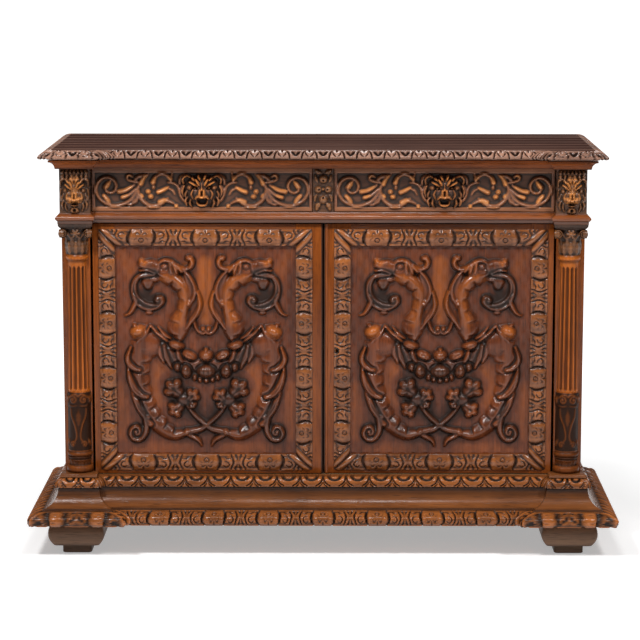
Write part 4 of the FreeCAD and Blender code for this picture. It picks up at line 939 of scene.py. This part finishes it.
around, up = np.meshgrid(angles, levels)
turned = np.interp(up, shape[:, 0], shape[:, 1])
relief = drum.sample((around / math.pi + 0.5) * drum.wide, np.clip(up - drum_low, 0, drum.tall))
relief = np.where((up > drum_low) & (up < drum_high), relief, 0)
flute = np.zeros(around.shape)
ends = np.sqrt(np.clip(np.minimum(up - 405, 714 - up) / 6, 0, 1))
for a in np.radians(np.arange(-75, 76, 30)):
    gap = np.abs(around - a) * turned / 5.2
    flute = np.maximum(flute, 3.8 * ends * np.clip(1 - (gap / np.maximum(ends, 0.05)) ** 2, 0, 1))
beads = np.where((up > 216) & (up < 230), 0.9 * np.cos(around * 16), 0)
# Painted shade in the grooves between the rings of the foot and neck and down the flutes; the drum's ground
# is darker than its straps.
base = np.interp(
    levels, [198, 214, 217, 222, 229, 232, 238, 246, 251, 256, 400, 403, 720, 726, 734, 741],
    [0.7, 0.5, 0.95, 0.75, 0.7, 0.95, 0.85, 0.55, 0.85, 0.1, 0.1, 0.0, 0.2, 0.7, 0.0, 0.6])[:, None]
low = np.where((up > 254) & (up < 400), np.clip(0.86 - relief * 0.13, 0, 1), 0)
dirt_and_shade = np.clip(base + low + flute * 0.17, 0, 1)
wear = np.clip(relief * 0.05 + np.where(up > 403, np.clip(1 - flute * 0.7, 0, 1) * 0.5, 0.1), 0, 1)
for side, x in (("left", -column_x), ("right", column_x)):
    piece = half_turned(
        f"half_column_{side}", x, around, up, turned + relief - flute + beads, wear, dirt_and_shade)
    fixed(piece, "case", column_walnut, "carved_wood", f"column_{side}", angle=50)

# Capitals: a leafy bell with a flower, spiral volutes at the corners and a moulded square abacus over them,
# all of dark walnut. Each is carved apart and fixed between its column and the waist moulding.
capital_low = 742
bell = Carving(94, 66, 0.9)
for d in (-38, -19, 0, 19, 38):
    bell.leaf([(47 + d, 0), (47 + d, 16), (47 + d, 34)], 9.5, 4.2, 3, 0.6)
for d in (-28.5, -9.5, 9.5, 28.5):
    bell.leaf([(47 + d, 8), (47 + d, 28), (47 + d * 1.05, 48)], 8, 3.2, 3, 0.6)
for a in range(0, 360, 60):
    c, s = math.cos(math.radians(a)), math.sin(math.radians(a))
    bell.rib([(47 + 3 * c, 53 + 3 * s), (47 + 9 * c, 53 + 9 * s)], [2.6, 3.6], [5.5, 4.5])
bell.knob(47, 53, 3.6, 3.6, 7.5)
for side in (-1, 1):
    bell.rib([(47 + side * 12, 40), (47 + side * 20, 52), (47 + side * 30, 58)], [2.0, 3.2, 4.0],
             [3.0, 4.5, 5.0])
bell.h = soften(bell.h, 1)
bell_shape = np.array([(742, 24), (748, 25), (760, 26), (776, 27), (788, 29), (800, 33), (808, 35)])
capital_dark = wood("capital_dark_walnut", "z", (34, 22, 16), (68, 43, 28), worn=(166, 104, 56), rough=0.25)


def volute(name, middle, flat, out):
    """A spiral volute on a short drum, set in the plane of one direction across and facing out."""
    turn = full_turn(60)
    rows, marks = [], []
    spiral = [(r, None) for r in np.linspace(9.6, 3.2, 12)]
    bud = [(2.6, 2.6), (1.2, 3.2), (0.4, 3.3)]
    for r, depth in [(8, -9), (10.2, -8.5), (10.6, 0), (10.2, 1.2)] + spiral + bud:
        ring = np.cos(2 * math.pi * (r / 4.0) - turn)
        high = 1.1 + 1.2 * ring if depth is None else np.full(60, depth)
        across = middle + r * np.cos(turn)[:, None] * np.array(flat)
        across = across + r * np.sin(turn)[:, None] * np.array([0, 0, 1])
        rows.append(across + high[:, None] * np.array(out))
        # Painted shade in the spiral's groove; the drum's faces get a little of it.
        marks.append(np.clip(0.6 - 0.6 * ring, 0, 1) if depth is None else np.full(60, 0.2))
    piece = skin(name, rows, False, 0.7 - np.array(marks), marks)
    fixed(piece, "case", capital_dark, "carved_wood", angle=60)


abacus = (
    (806, 33), (807, 35), (809, 36), (811, 38.5), (813, 39.6), (813.4, 40.8), (819.4, 41.6), (820, 41))
volute_z = 795.5
around, up = np.meshgrid(angles, np.arange(capital_low, 808.1, 1.2))
relief = bell.sample((around / math.pi + 0.5) * bell.wide, up - capital_low)
radius = np.interp(up, bell_shape[:, 0], bell_shape[:, 1]) + relief
wear = np.clip(relief * 0.13, 0, 1)
# The bell is darker where its leaves are low: painted shade between them.
dirt_and_shade = np.clip(0.75 - relief * 0.2, 0, 1)
for side, x in (("left", -column_x), ("right", column_x)):
    piece = half_turned(f"capital_bell_{side}", x, around, up, radius, wear, dirt_and_shade)
    fixed(piece, "case", capital_dark, "carved_wood", f"capital_{side}", angle=60)
    rows = [[(x - r, column_y, z), (x - r, column_y - r, z), (x + r, column_y - r, z), (x + r, column_y, z)]
            for z, r in abacus]
    fixed(skin(f"capital_abacus_{side}", rows), "case", capital_dark, "carved_wood", angle=30)
    for way in (-1, 1):
        end = "inner" if x * way < 0 else "outer"
        spot = np.array([x + way * 30.5, -191.0, volute_z])
        volute(f"volute_front_{side}_{end}", spot, (1, 0, 0), (0, -1, 0))
        spot = np.array([x + way * 37.5, -184.5, volute_z])
        volute(f"volute_side_{side}_{end}", spot, (0, 1, 0), (way, 0, 0))

# Doors: each leaf is a walnut frame with a painted shadow along its meeting edge, a rounded band cut with
# bosses and lunettes round the opening, and a panel carved with two dragons. They turn on pins at their outer
# corners.
leaf_low, leaf_high, leaf_near, leaf_far, band_wide = 241, 762, 67.5, 510.0, 41


def dragon_panel():
    """Two dragons back to back, tails crossed under a swag of fruit: one half, then mirrored."""
    work = Carving(leaf_far - leaf_near, leaf_high - leaf_low, 1.6)
    rib, groove, knob, stain = work.rib, work.groove, work.knob, work.stain
    middle = 221.2

    def plates(points, widths, high, belly, pitch):
        """A dragon's body: a full round whose belly edge is cut into overlapping plates."""

        def form(t, s, along):
            q = s * belly
            lobe = np.mod(along / pitch, 1.0)
            edge = np.where(q > 0, 0.8 + 0.2 * np.sin(np.pi * lobe**1.6) ** 0.6, 1.0)
            dome = 1 - np.minimum(np.abs(s) / edge, 1) ** 2.3
            inward = np.clip((q + 0.1) / 0.45, 0, 1)
            return high * dome * (1 - 0.45 * inward * (1 - lobe) ** 1.5)

        work.strip(points, widths, form)

    def knobs(*rows):
        """Several rounded forms: place, half sizes, height and, if turned, the angle."""
        for row in rows:
            knob(*row[:5], turn=row[5] if len(row) > 5 else 0, shape=2.8)

    def blade(points, widths, high, power=3.4):
        """A smooth rounded leaf or strap along a line."""
        work.strip(points, widths, lambda t, s, along: high * (1 - np.abs(s) ** power))

    def fruit(u, v, ru, rv, high, turn=0):
        """A rounded fruit or bud that is cut free of what lies under it."""
        knob(u, v, ru + 4, rv + 4, 9, turn, 5.0, True)
        knob(u, v, ru, rv, high, turn, 2.6)

    # the body from the shoulder to the tail, then the leaves on its outer side
    knob(76, 274, 42, 36, 15, shape=3.0)
    plates([(70, 292), (64, 262), (62, 236), (60, 198), (66, 159), (81, 107), (108, 70), (140, 50),
            (172, 54)], [34, 30, 25, 22, 22, 24, 23, 18, 10], 16, 1, 30)
    rib([(38, 250), (44, 214), (50, 186), (54, 150), (63, 112), (74, 84)], [8, 10, 14, 16, 16, 12],
        [10, 11, 12, 12, 12, 11], 3.0)
    for line, wide_lobe, rise in (
            ([(36, 180), (43, 150), (55, 118), (70, 94), (86, 76)], [3, 8, 10, 10, 7], 17),
            ([(29, 218), (34, 190), (45, 165), (60, 149), (74, 144)], [3, 8, 11, 12, 8], 20),
            ([(36, 268), (28, 243), (33, 226), (46, 215), (58, 212)], [3, 6, 8, 9, 7], 21)):
        groove(line, [w + 3.5 for w in wide_lobe], 7, 5.0)
        blade(line, wide_lobe, rise, 2.6)
        groove(line[:4], [1.0, 2.2, 2.6, 1.6], [2, 4, 5, 2])
    knobs((77, 95, 11, 8, 18, -40), (82, 76, 11, 8, 18, -50))
    curl = [(60, 122), (68, 102), (73, 78), (70, 55), (58, 38), (42, 37), (33, 50), (37, 64), (48, 69),
            (56, 61), (54, 51), (47, 50)]
    knob(50, 53, 22, 20, 12)
    rib(curl, [5, 10, 10, 9, 8.5, 8, 7.5, 6.5, 6, 5.5, 5, 4],
        [10, 15, 16, 16, 16, 16, 16, 16, 17, 17, 18, 18], 3.4)
    knobs((46, 56.5, 6, 6, 20), (172, 55, 14, 10.5, 19, 35))
    # the neck with its mane straps
    rib([(174, 450), (186, 420), (188, 392), (180, 372)], [10, 13, 13, 10], 12, 4.0)
    rib([(200, 392), (192, 358), (178, 332)], [10, 12, 10], 9, 4.0)
    plates([(112, 447), (140, 437), (163, 417), (169, 397), (168, 378), (164, 359), (158, 340), (154, 317),
            (155, 294), (156, 280)], [17, 22, 21, 19, 17, 16, 20, 33, 24, 4], 18, -1, 30)
    blade([(168, 460), (184, 442), (194, 420), (194, 401), (186, 382)], [3, 5, 5.5, 6.5, 5], 18)
    blade([(196, 404), (190, 388), (178, 384)], [3, 7, 4], 17)
    knobs((180, 377, 8.5, 8.5, 21))
    blade([(202, 408), (207, 378), (199, 355), (186, 336), (174, 315)], [2, 6, 8, 8.5, 4], 17)
    groove([(205, 384), (198, 358), (186, 338)], [1, 2, 1], [3, 4, 3])
    rib([(192, 338), (195, 322), (203, 308), (215, 303), (222, 308)], [3, 4.5, 5, 5, 5],
        [9, 12, 13, 13, 13])
    knobs((214.5, 314, 7.5, 7.5, 18))
    # the head: snout, jaws and chin, the eye under its brow, ear leaves and horn
    rib([(134, 452), (112, 464), (88, 470), (66, 474)], [24, 22, 16, 11], [16, 17, 16, 14], 3.0)
    knobs((65, 481, 7, 7, 19), (84, 479, 18, 8, 18, 10), (128, 446, 18, 15, 18))
    blade([(60, 459), (80, 460), (98, 453)], [2.5, 4, 3], 18)
    groove([(56, 451.5), (78, 453), (98, 451)], [2.5, 3.4, 2], [9, 10, 6])
    blade([(58, 442), (78, 447), (98, 449)], [2.5, 4, 3], 16)
    rib([(80, 432), (80, 421), (79, 411)], [17, 12, 2], [13, 11, 3], 2.8)
    knobs((95, 438, 15, 9, 13))
    groove([(108, 458), (112, 470), (108, 480)], [2, 3, 2], [4, 5, 3])
    knob(122, 471, 18, 14, 18, shape=3.0)
    groove(circle(121, 470, 9, 8, 15), 1.7, 5)
    knobs((121, 470, 6.8, 6, 21))
    rib([(104, 470), (111, 481), (123, 485), (136, 482), (148, 474)], [3, 4.5, 5.5, 6.5, 6],
        [16, 20, 22, 22, 20], 3.0)
    blade([(135, 476), (136, 466), (138, 454)], [5, 6.5, 5], 22)
    blade([(144, 475), (148, 465), (151, 454)], [5, 6.5, 5], 23)
    blade([(152, 473), (158, 465), (163, 457)], [5, 6, 4.5], 22)
    rib([(146, 474), (160, 467), (172, 463), (184, 468), (189, 480), (185, 490), (179, 490)],
        [3, 5.5, 6, 6.5, 7, 7, 7.5], [14, 16, 16, 17, 18, 18, 19], 3.0)
    # the tongue, a wide hollow scroll with a leaf
    tongue = [(98, 451), (75, 452), (57, 444), (47, 430), (44.5, 416), (48, 396), (61, 378), (80, 369),
              (100, 371), (113, 381), (112, 391), (104, 392)]
    rib(tongue, [2.5, 4, 5.5, 7, 7.5, 9, 11, 12, 11, 9, 8, 7],
        [9, 12, 13, 14, 14, 14, 14, 15, 16, 17, 17, 17], 4.0)
    groove(tongue[2:9], [1.5, 3.4, 4, 5, 7, 7.5, 4], [2, 5, 6, 7, 8, 8, 4], 2.6)
    knobs((103, 386, 10, 10, 20), (82, 355, 11, 6, 10))
    blade([(42, 404), (50, 386), (44, 368), (34, 353), (20, 346)], [2, 7.5, 7, 5, 1], 14)
    # the shoulder boss and the cuff that the swag hangs from
    knobs((46, 323, 6, 5, 12), (54.5, 308, 22, 16, 25, 27))
    groove([(34, 288), (54, 286), (70, 298), (84, 316)], [2, 3, 3.2, 2], [5, 8, 8, 5])
    blade([(84, 322), (72, 300), (52, 284)], [2, 5, 3], 17)
    blade([(86, 322), (98, 308), (112, 296), (127, 284)], [2, 5, 6, 4], 19, 2.6)
    blade([(104, 318), (118, 302), (134, 290)], [2, 5, 3], 17, 2.6)
    # the swag: hanging leaves at its ends, then pods, a gourd and a pomegranate that overlap
    rib([(116, 272), (134, 250), (162, 226), (221, 212)], [13, 20, 26, 30], [9, 11, 12, 12], 4.0)
    for line, wide_leaf, rise in (
            ([(108, 270), (109, 250), (117, 230)], [4, 8, 3], 14),
            ([(118, 272), (124, 246), (136, 216)], [6, 10, 3], 18),
            ([(131, 268), (141, 246), (150, 226)], [6, 9, 3], 16),
            ([(150, 264), (156, 245), (163, 226)], [6, 9, 4], 20)):
        blade(line, wide_leaf, rise, 2.4)
        groove(line, [1.0, 2.0, 1.0], [2, 5, 2])
    for d, foot in ((38, 193), (27, 186), (14, 182), (0, 180)):
        fruit(middle - d, foot + 8, 8, 11, 16, -d * 0.7)
    fruit(152, 219, 12, 14, 20, 20)
    fruit(172, 210, 15, 20, 24, 8)
    fruit(middle, 209, 27, 20, 24)
    fruit(180, 249, 22, 12.5, 25, -24)
    fruit(middle, 248, 18.5, 17, 26)
    fruit(148, 274, 22, 13, 26, -14)
    groove([(164, 257), (180, 250), (196, 242)], [1.6, 4.6, 1.6], [3, 7, 3])
    groove([(130, 279), (148, 272), (164, 266)], [1.2, 2.6, 1.2], [3, 5, 3])
    groove([(178, 226), (176, 210), (178, 195)], [1, 2.4, 1], [2, 5, 2])
    for d in (-14, -5, 5, 14):
        groove([(middle + d * 0.8, 226), (middle + d * 1.2, 208), (middle + d, 192)], [1.0, 1.8, 1.0],
               [1.5, 3.4, 1.5])
    knobs((middle, 263, 6, 5, 24))
    # the crossed stems and the sprigs
    rib([(178, 56), (204, 62), (222, 72)], [10, 9, 8], 14, 3.0)
    blade([(174, 50), (190, 42), (202, 34), (209, 20)], [6, 7, 5, 1.5], 14)
    rib([(222, 72), (205, 86), (190, 101), (176, 120)], [7.5, 7, 6.5, 6], 13, 3.0)
    knob(168, 136, 20, 18, 13, shape=3.0)
    for u, v, long, turn in ((144, 162, 27, 135), (185, 145, 20, 50), (186, 126, 12, -50),
                             (148, 114, 22, 215)):
        c, s = math.cos(math.radians(turn)), math.sin(math.radians(turn))
        knobs((u, v, long, long * 0.74, 18, turn))
        for d in (-62, 0, 62):
            lobe = math.radians(turn + d)
            knobs((u + 0.5 * long * math.cos(lobe), v + 0.5 * long * math.sin(lobe), 0.62 * long,
                   0.5 * long, 21, turn + d))
        groove([(u - 0.8 * long * c, v - 0.8 * long * s), (u, v),
                (u + 0.9 * long * c, v + 0.9 * long * s)], [1, 2, 1], [3, 5, 3])
    # dark wax on the hanging and curled parts, painted shade under the snout, golden wood where hands have
    # rubbed it
    stain([(116, 278), (134, 246), (165, 218), (221, 206)], [16, 26, 30, 34], -0.85)
    stain(tongue, 16, -0.75)
    stain(curl, 16, -0.6)
    stain([(136, 172), (168, 132), (222, 72)], [40, 44, 16], -0.8)
    stain([(92, 96), (112, 74), (150, 54), (210, 60)], [12, 18, 20, 14], -0.5)
    stain([(middle, 478), (middle, 420), (middle, 340)], [22, 26, 20], 0.6)
    stain([(112, 440), (146, 440), (167, 412), (166, 370), (156, 336)], [10, 18, 18, 16, 20], 0.5)
    stain([(64, 484), (72, 478)], [9, 12], 0.7)
    stain([(136, 480), (152, 464), (186, 484)], [9, 12, 8], 0.35)
    # painted shade under the snout, behind the mouth's corner
    stain([(84, 468), (104, 456)], [12, 13], -0.35)
    stain([(80, 432), (80, 414)], [18, 14], -0.6)
    stain([(58, 404), (76, 388), (96, 382)], [14, 22, 16], -0.7)
    stain([(34, 250), (34, 212), (46, 170), (60, 126), (72, 90)], [8, 12, 14, 14, 12], -0.22)
    stain([(172, 460), (190, 430), (204, 384), (184, 334)], [10, 12, 14, 12], -0.35)
    stain([(62, 196), (66, 150), (84, 106)], [16, 22, 22], -0.3)
    stain([(50, 306), (58, 310)], [18, 18], 0.9)
    stain([(108, 210), (104, 140)], [26, 28], 0.3)
    for streak, amount in (([(10, 170), (12, 50)], 0.25), ([(50, 12), (170, 14)], 0.2),
                           ([(14, 500), (50, 440)], 0.2), ([(78, 410), (90, 392)], -0.45)):
        stain(streak, [18, 24], amount)
    work.h = soften(np.maximum(work.h, 0), 1)
    work.mirror()
    tool = np.sin(work.u * 0.21)[None, :] * np.sin(work.v * 0.17 + 1.0)[:, None]
    work.h = work.h + 0.4 * tool * np.clip(1 - work.h / 2, 0, 1)
    work.lowered(4)
    return work


band_walnut = wood("band_walnut", "x", (48, 25, 13), (104, 55, 26), recess=(54, 36, 27),
                   worn=(190, 112, 52), rough=0.21, coat=1.0)
panel_walnut = wood("panel_walnut", "z", (50, 26, 18), (118, 60, 33), recess=(30, 20, 15),
                    worn=(168, 90, 34), rough=0.2, gloss=0.18, coat=0.7)
band_line = np.linspace(band_wide, 0, 25)
profile = np.column_stack([band_line, 2.4 + 7.4 * np.sin(np.pi * band_line / band_wide) ** 0.75])
profile = np.concatenate([profile, [(0, 0), (band_wide, 0)]])
carved = np.concatenate([band_line, [-1, -1]])
shade = np.zeros(len(profile))
shade[[0, 24]] = 0.8
band_cutting = repeated(boss_unit(148, band_wide), 148, 26, 24)


def keyed_cutting(leg, along, ends, across):
    """The right leaf's band, which also has the keyhole on its closing side."""
    h = band_cutting(leg, along, ends, across)
    hole = np.hypot((along + 0.5) / 1.3, np.asarray(across) - 34.5)
    return h - 8.0 * np.clip((4.6 - hole) / 1.6, 0, 1) if leg == 3 else h


# A painted shadow along the meeting stiles: darkest within 3 mm of the doors' middle and gone by 7 mm, where
# the left leaf's edge shades the right leaf.
meeting_walnut_painted_shadow = wood("meeting_walnut_painted_shadow", "z", (80, 36, 12), (146, 76, 26), rough=0.21)
tree = meeting_walnut_painted_shadow.node_tree
across = put(tree, "SeparateXYZ", {"Vector": put(tree, "TexCoord").outputs["Object"]})
painted_meeting_shadow = ranged(tree, maths(tree, "ABSOLUTE", across), 0.003, 0.007, 0.95, 0.0)
for node in tree.nodes:
    if node.type == "GROUP" and node.node_tree == finish_and_shade_group:
        feed(tree, node, {"Dirt_and_shade": painted_meeting_shadow})
dragons = dragon_panel()
for side, face, way in (("left", -155.0, -1), ("right", -151.0, 1)):
    body = f"door_{side}"
    eased(f"{body}_rails", body, frame_level)
    eased(f"{body}_hinge_stile", body, frame_upright)
    eased(f"{body}_meeting_stile", body, meeting_walnut_painted_shadow)
    low, high = sorted((leaf_near * way, leaf_far * way))
    opening = [(low, leaf_low), (high, leaf_low), (high, leaf_high), (low, leaf_high)]

    def upright_place(spot, level):
        """Puts the band's points on the leaf's face."""
        depth = np.broadcast_to(face - level, spot.shape[:2])
        return np.stack([spot[..., 0], depth, spot[..., 1]], axis=2)

    cutting = band_cutting if side == "left" else keyed_cutting
    piece = moulding(f"{body}_carved_band", opening, profile, carved, upright_place, cutting, 2.0,
                     closed=True, shade=shade, rub_and_sheen=0.2)
    fixed(piece, body, band_walnut, "carved_wood", f"{body}_band")
    carved_board(f"{body}_dragon_panel", dragons, low, leaf_low, face + 6, 12, 0.6, body=body,
                 material=panel_walnut, nodes=[f"{body}_panel"])

# Closing bead, keyhole and pins: a half round walnut bead along the right leaf's closing edge, an iron ring
# round the keyhole in its band, and the iron lock, bolts and pivot pins. They are let into the leaves.
iron = bpy.data.materials.new("old_iron")
tree = emptied(iron)
place = put(tree, "TexCoord").outputs["Object"]
tarnish = ranged(tree, noise(tree, place, 140.0, 4.0, 0.65), 0.35, 0.68)
old = put(tree, "BsdfPrincipled", {
    "Base Color": mixed(tree, tarnish, colour(44, 39, 35), colour(96, 90, 84)), "Metallic": 1.0,
    "Roughness": ranged(tree, tarnish, 0.0, 1.0, 0.42 + 0.25, 0.42),
    "Normal": put(tree, "Bump", {"Height": tarnish, "Strength": 0.25, "Distance": 0.0003})})
put(tree, "OutputMaterial", {"Surface": old})
half = np.radians(np.linspace(0, 180, 13))
rows = [[(8.5 + 3.4 * math.cos(a), -151 - 3.0 * math.sin(a), z) for a in half] for z in (192.5, 815.5)]
fixed(skin("closing_bead", rows), "door_right", frame_upright, "carved_wood")
key_x, key_y, key_z = 33, -157.2, 502
rows = []
for a in full_turn(32):
    tall = 5.4 if math.sin(a) > -0.3 else 7.6
    rows.append([(key_x + (4.6 + 0.9 * math.cos(b)) * math.cos(a), key_y - 1.1 * math.sin(b),
                  key_z + (tall + 0.9 * math.cos(b)) * math.sin(a)) for b in full_turn(10)])
fixed(skin("keyhole_ring", rows, True), "door_right", iron, "iron")
for name in ("door_pivots", "lock_bolt", "leaf_bolt_head", "leaf_bolt_foot"):
    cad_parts[name].data.materials.clear()
    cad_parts[name].data.materials.append(iron)
eased("lock_case", "door_right", iron, "iron", 0.4)
eased("lock_strike", "door_left", iron, "iron", 0.4)
keepers = eased("leaf_bolt_keepers", "door_left", iron, "iron", 0.4)
bolt_middle, bolt_half, bolt_back, play = -0.0365, 0.0055, -0.123, 0.00015
for point in keepers.data.vertices:
    off = point.co.x - bolt_middle
    if abs(off) < bolt_half:
        point.co.x += math.copysign(play, off)
        if abs(point.co.y - bolt_back) < play:
            point.co.y += play

# Drawers: two walnut fronts with a lion mask between leafy scrolls that mirror each other, cut into a sunk
# ground, on plain dovetailed boxes. They slide on the runners.
front_wide, front_tall, front_step = 537, 105, 1.3


def scroll_front():
    """The drawer front's carving: the left half of the scrolls, mirrored about the mask."""
    work = Carving(front_wide, front_tall, front_step)
    rib, leaf, knob = work.rib, work.leaf, work.knob
    rib([(138, 90), (124, 78), (112, 56), (100, 34), (84, 20), (60, 13), (38, 16), (20, 28), (10, 46),
         (12, 64), (23, 78), (38, 82), (52, 76), (59, 62), (55, 49), (45, 44), (35, 48), (32, 57)],
        [3.2, 5.9, 5.2, 5.2, 5.9, 5.9] + [5.2] * 7 + [4.9, 4.5, 4.2, 3.9, 3.9], [5] + [8] * 3 + [9] * 14)
    rib([(33, 58), (38, 65), (45, 74)], [7.2, 6.5, 3.2], [12, 11, 7])
    rib([(28, 37), (35, 29), (43, 18)], [5.9, 7.2, 4.5], [10, 10, 8])
    rib([(66, 47), (82, 50), (103, 63)], [7.2, 6.5, 3.9], [12, 11, 8])
    rib([(74, 33), (90, 39), (107, 54)], [6.5, 5.9, 3.9], [11, 10, 8])
    leaf([(108, 34), (98, 18), (84, 14)], 6, 9, 2)
    leaf([(112, 48), (110, 30), (104, 16)], 6, 9, 2)
    rib([(112, 70), (98, 73), (87, 78), (87, 86), (93, 88), (98, 84)], [4.5, 5.2, 5.2, 4.5, 4.2, 3.9],
        [8, 9, 10, 10, 10, 9])
    leaf([(100, 72), (115, 84), (134, 90)], 7, 10, 3)
    rib([(132, 88), (124, 78), (119, 66)], [4.5, 6.5, 7.8], [8, 11, 12])
    rib([(113, 62), (112, 44), (122, 26), (140, 13), (160, 14), (176, 24), (184, 30)],
        [3.9, 5.2, 5.9, 6.5, 6.5, 7.2, 3.9], [8, 8, 9, 9, 9, 10, 7])
    rib([(112, 54), (114, 42), (122, 35)], [3.9, 5.9, 5.2], [8, 10, 9])
    rib([(149, 70), (154, 82), (167, 90), (181, 88), (190, 80), (193, 72)], [7.8, 5.9, 5.2, 5.2, 5.9, 3.9],
        [12, 10, 9, 9, 9, 8])
    knob(137, 47, 7, 6.5, 12)
    knob(143, 35, 7.5, 6.5, 12)
    knob(150, 58, 5, 7, 9)
    rib([(162, 46), (172, 50), (186, 58)], [7.2, 6.5, 3.9], [12, 11, 8])
    rib([(164, 22), (174, 26), (186, 24), (198, 18)], [6.5, 7.2, 5.2, 3.4], [11, 11, 8, 7])
    knob(205, 12.5, 6, 5, 10)
    knob(192, 79, 6, 5.5, 11)
    rib([(186, 70), (200, 67), (210, 58), (212, 44)], [3.2, 3.9, 3.9, 2.6], [7, 8, 8, 6])
    rib([(184, 56), (196, 50), (202, 40)], [2.6, 3.4, 2.6], [7, 7, 6])
    rib([(196, 92), (193, 84), (188, 80)], [2.6, 4.5, 3.9], [7, 8, 8])
    rib([(214, 66), (216, 80), (226, 88), (236, 84)], [3.9, 5.2, 5.2, 3.9], [8, 10, 10, 9])
    rib([(222, 62), (215, 45), (222, 28), (232, 20)], [3.9, 5.2, 5.2, 3.9], [8, 10, 10, 9])
    for spots, wide in (
            ([(38, 60), (42, 68)], 8), ([(31, 36), (40, 24)], 7), ([(66, 48), (94, 58)], 7),
            ([(75, 34), (84, 38)], 6), ([(88, 85), (92, 86)], 5), ([(121, 68), (131, 84)], 7),
            ([(121, 40), (122, 35)], 5), ([(136, 48), (144, 34)], 8), ([(149, 70), (153, 80)], 6),
            ([(188, 82), (192, 78)], 6), ([(162, 46), (182, 56)], 6), ([(165, 22), (178, 26)], 7),
            ([(204, 13), (206, 12)], 6)):
        work.stain(spots, wide, 0.75)
    work.h = soften(work.h, 1)
    work.mirror()
    sunk = np.minimum.outer(np.minimum(work.v - 9, 94 - work.v), np.minimum(work.u - 6, 531 - work.u))
    sunk = np.clip(sunk / 2.5, 0, 1)
    work.tone = work.tone - 0.5 * sunk * np.clip(1 - work.h / 4, 0, 1)
    work.h = work.h - 4.5 * sunk
    rims = np.clip(np.maximum(14 - work.v, work.v - 89) / 8, 0, 1)[:, None]
    work.tone = work.tone + 0.2 * rims
    return work


drawer_dark = wood("drawer_dark_walnut", "x", (86, 52, 38), (138, 90, 66), recess=(44, 35, 30),
                   worn=(206, 132, 70), rough=0.24, coat=0.35)
work = scroll_front()
face = Carving(front_wide, front_tall, front_step)
lion_mask(face, front_wide / 2, 54, 0.95, 0.97, 36)
work.h = np.maximum(work.h, np.where(face.h > 0.5, face.h - 3, -9))
work.tone = work.tone + face.tone
for side, left in (("left", -564.0), ("right", 27.0)):
    body = f"drawer_{side}"
    carved_board(f"{body}_carved_front", work, left, 847.5, -155.0, 22, 0.7, body=body,
                 material=drawer_dark, nodes=[f"{body}_front", f"{body}_mask"])
    eased(f"{body}_box", body, inner_deep, "inner_wood")
    eased(f"{body}_bottom", body, inner_level, "inner_wood")
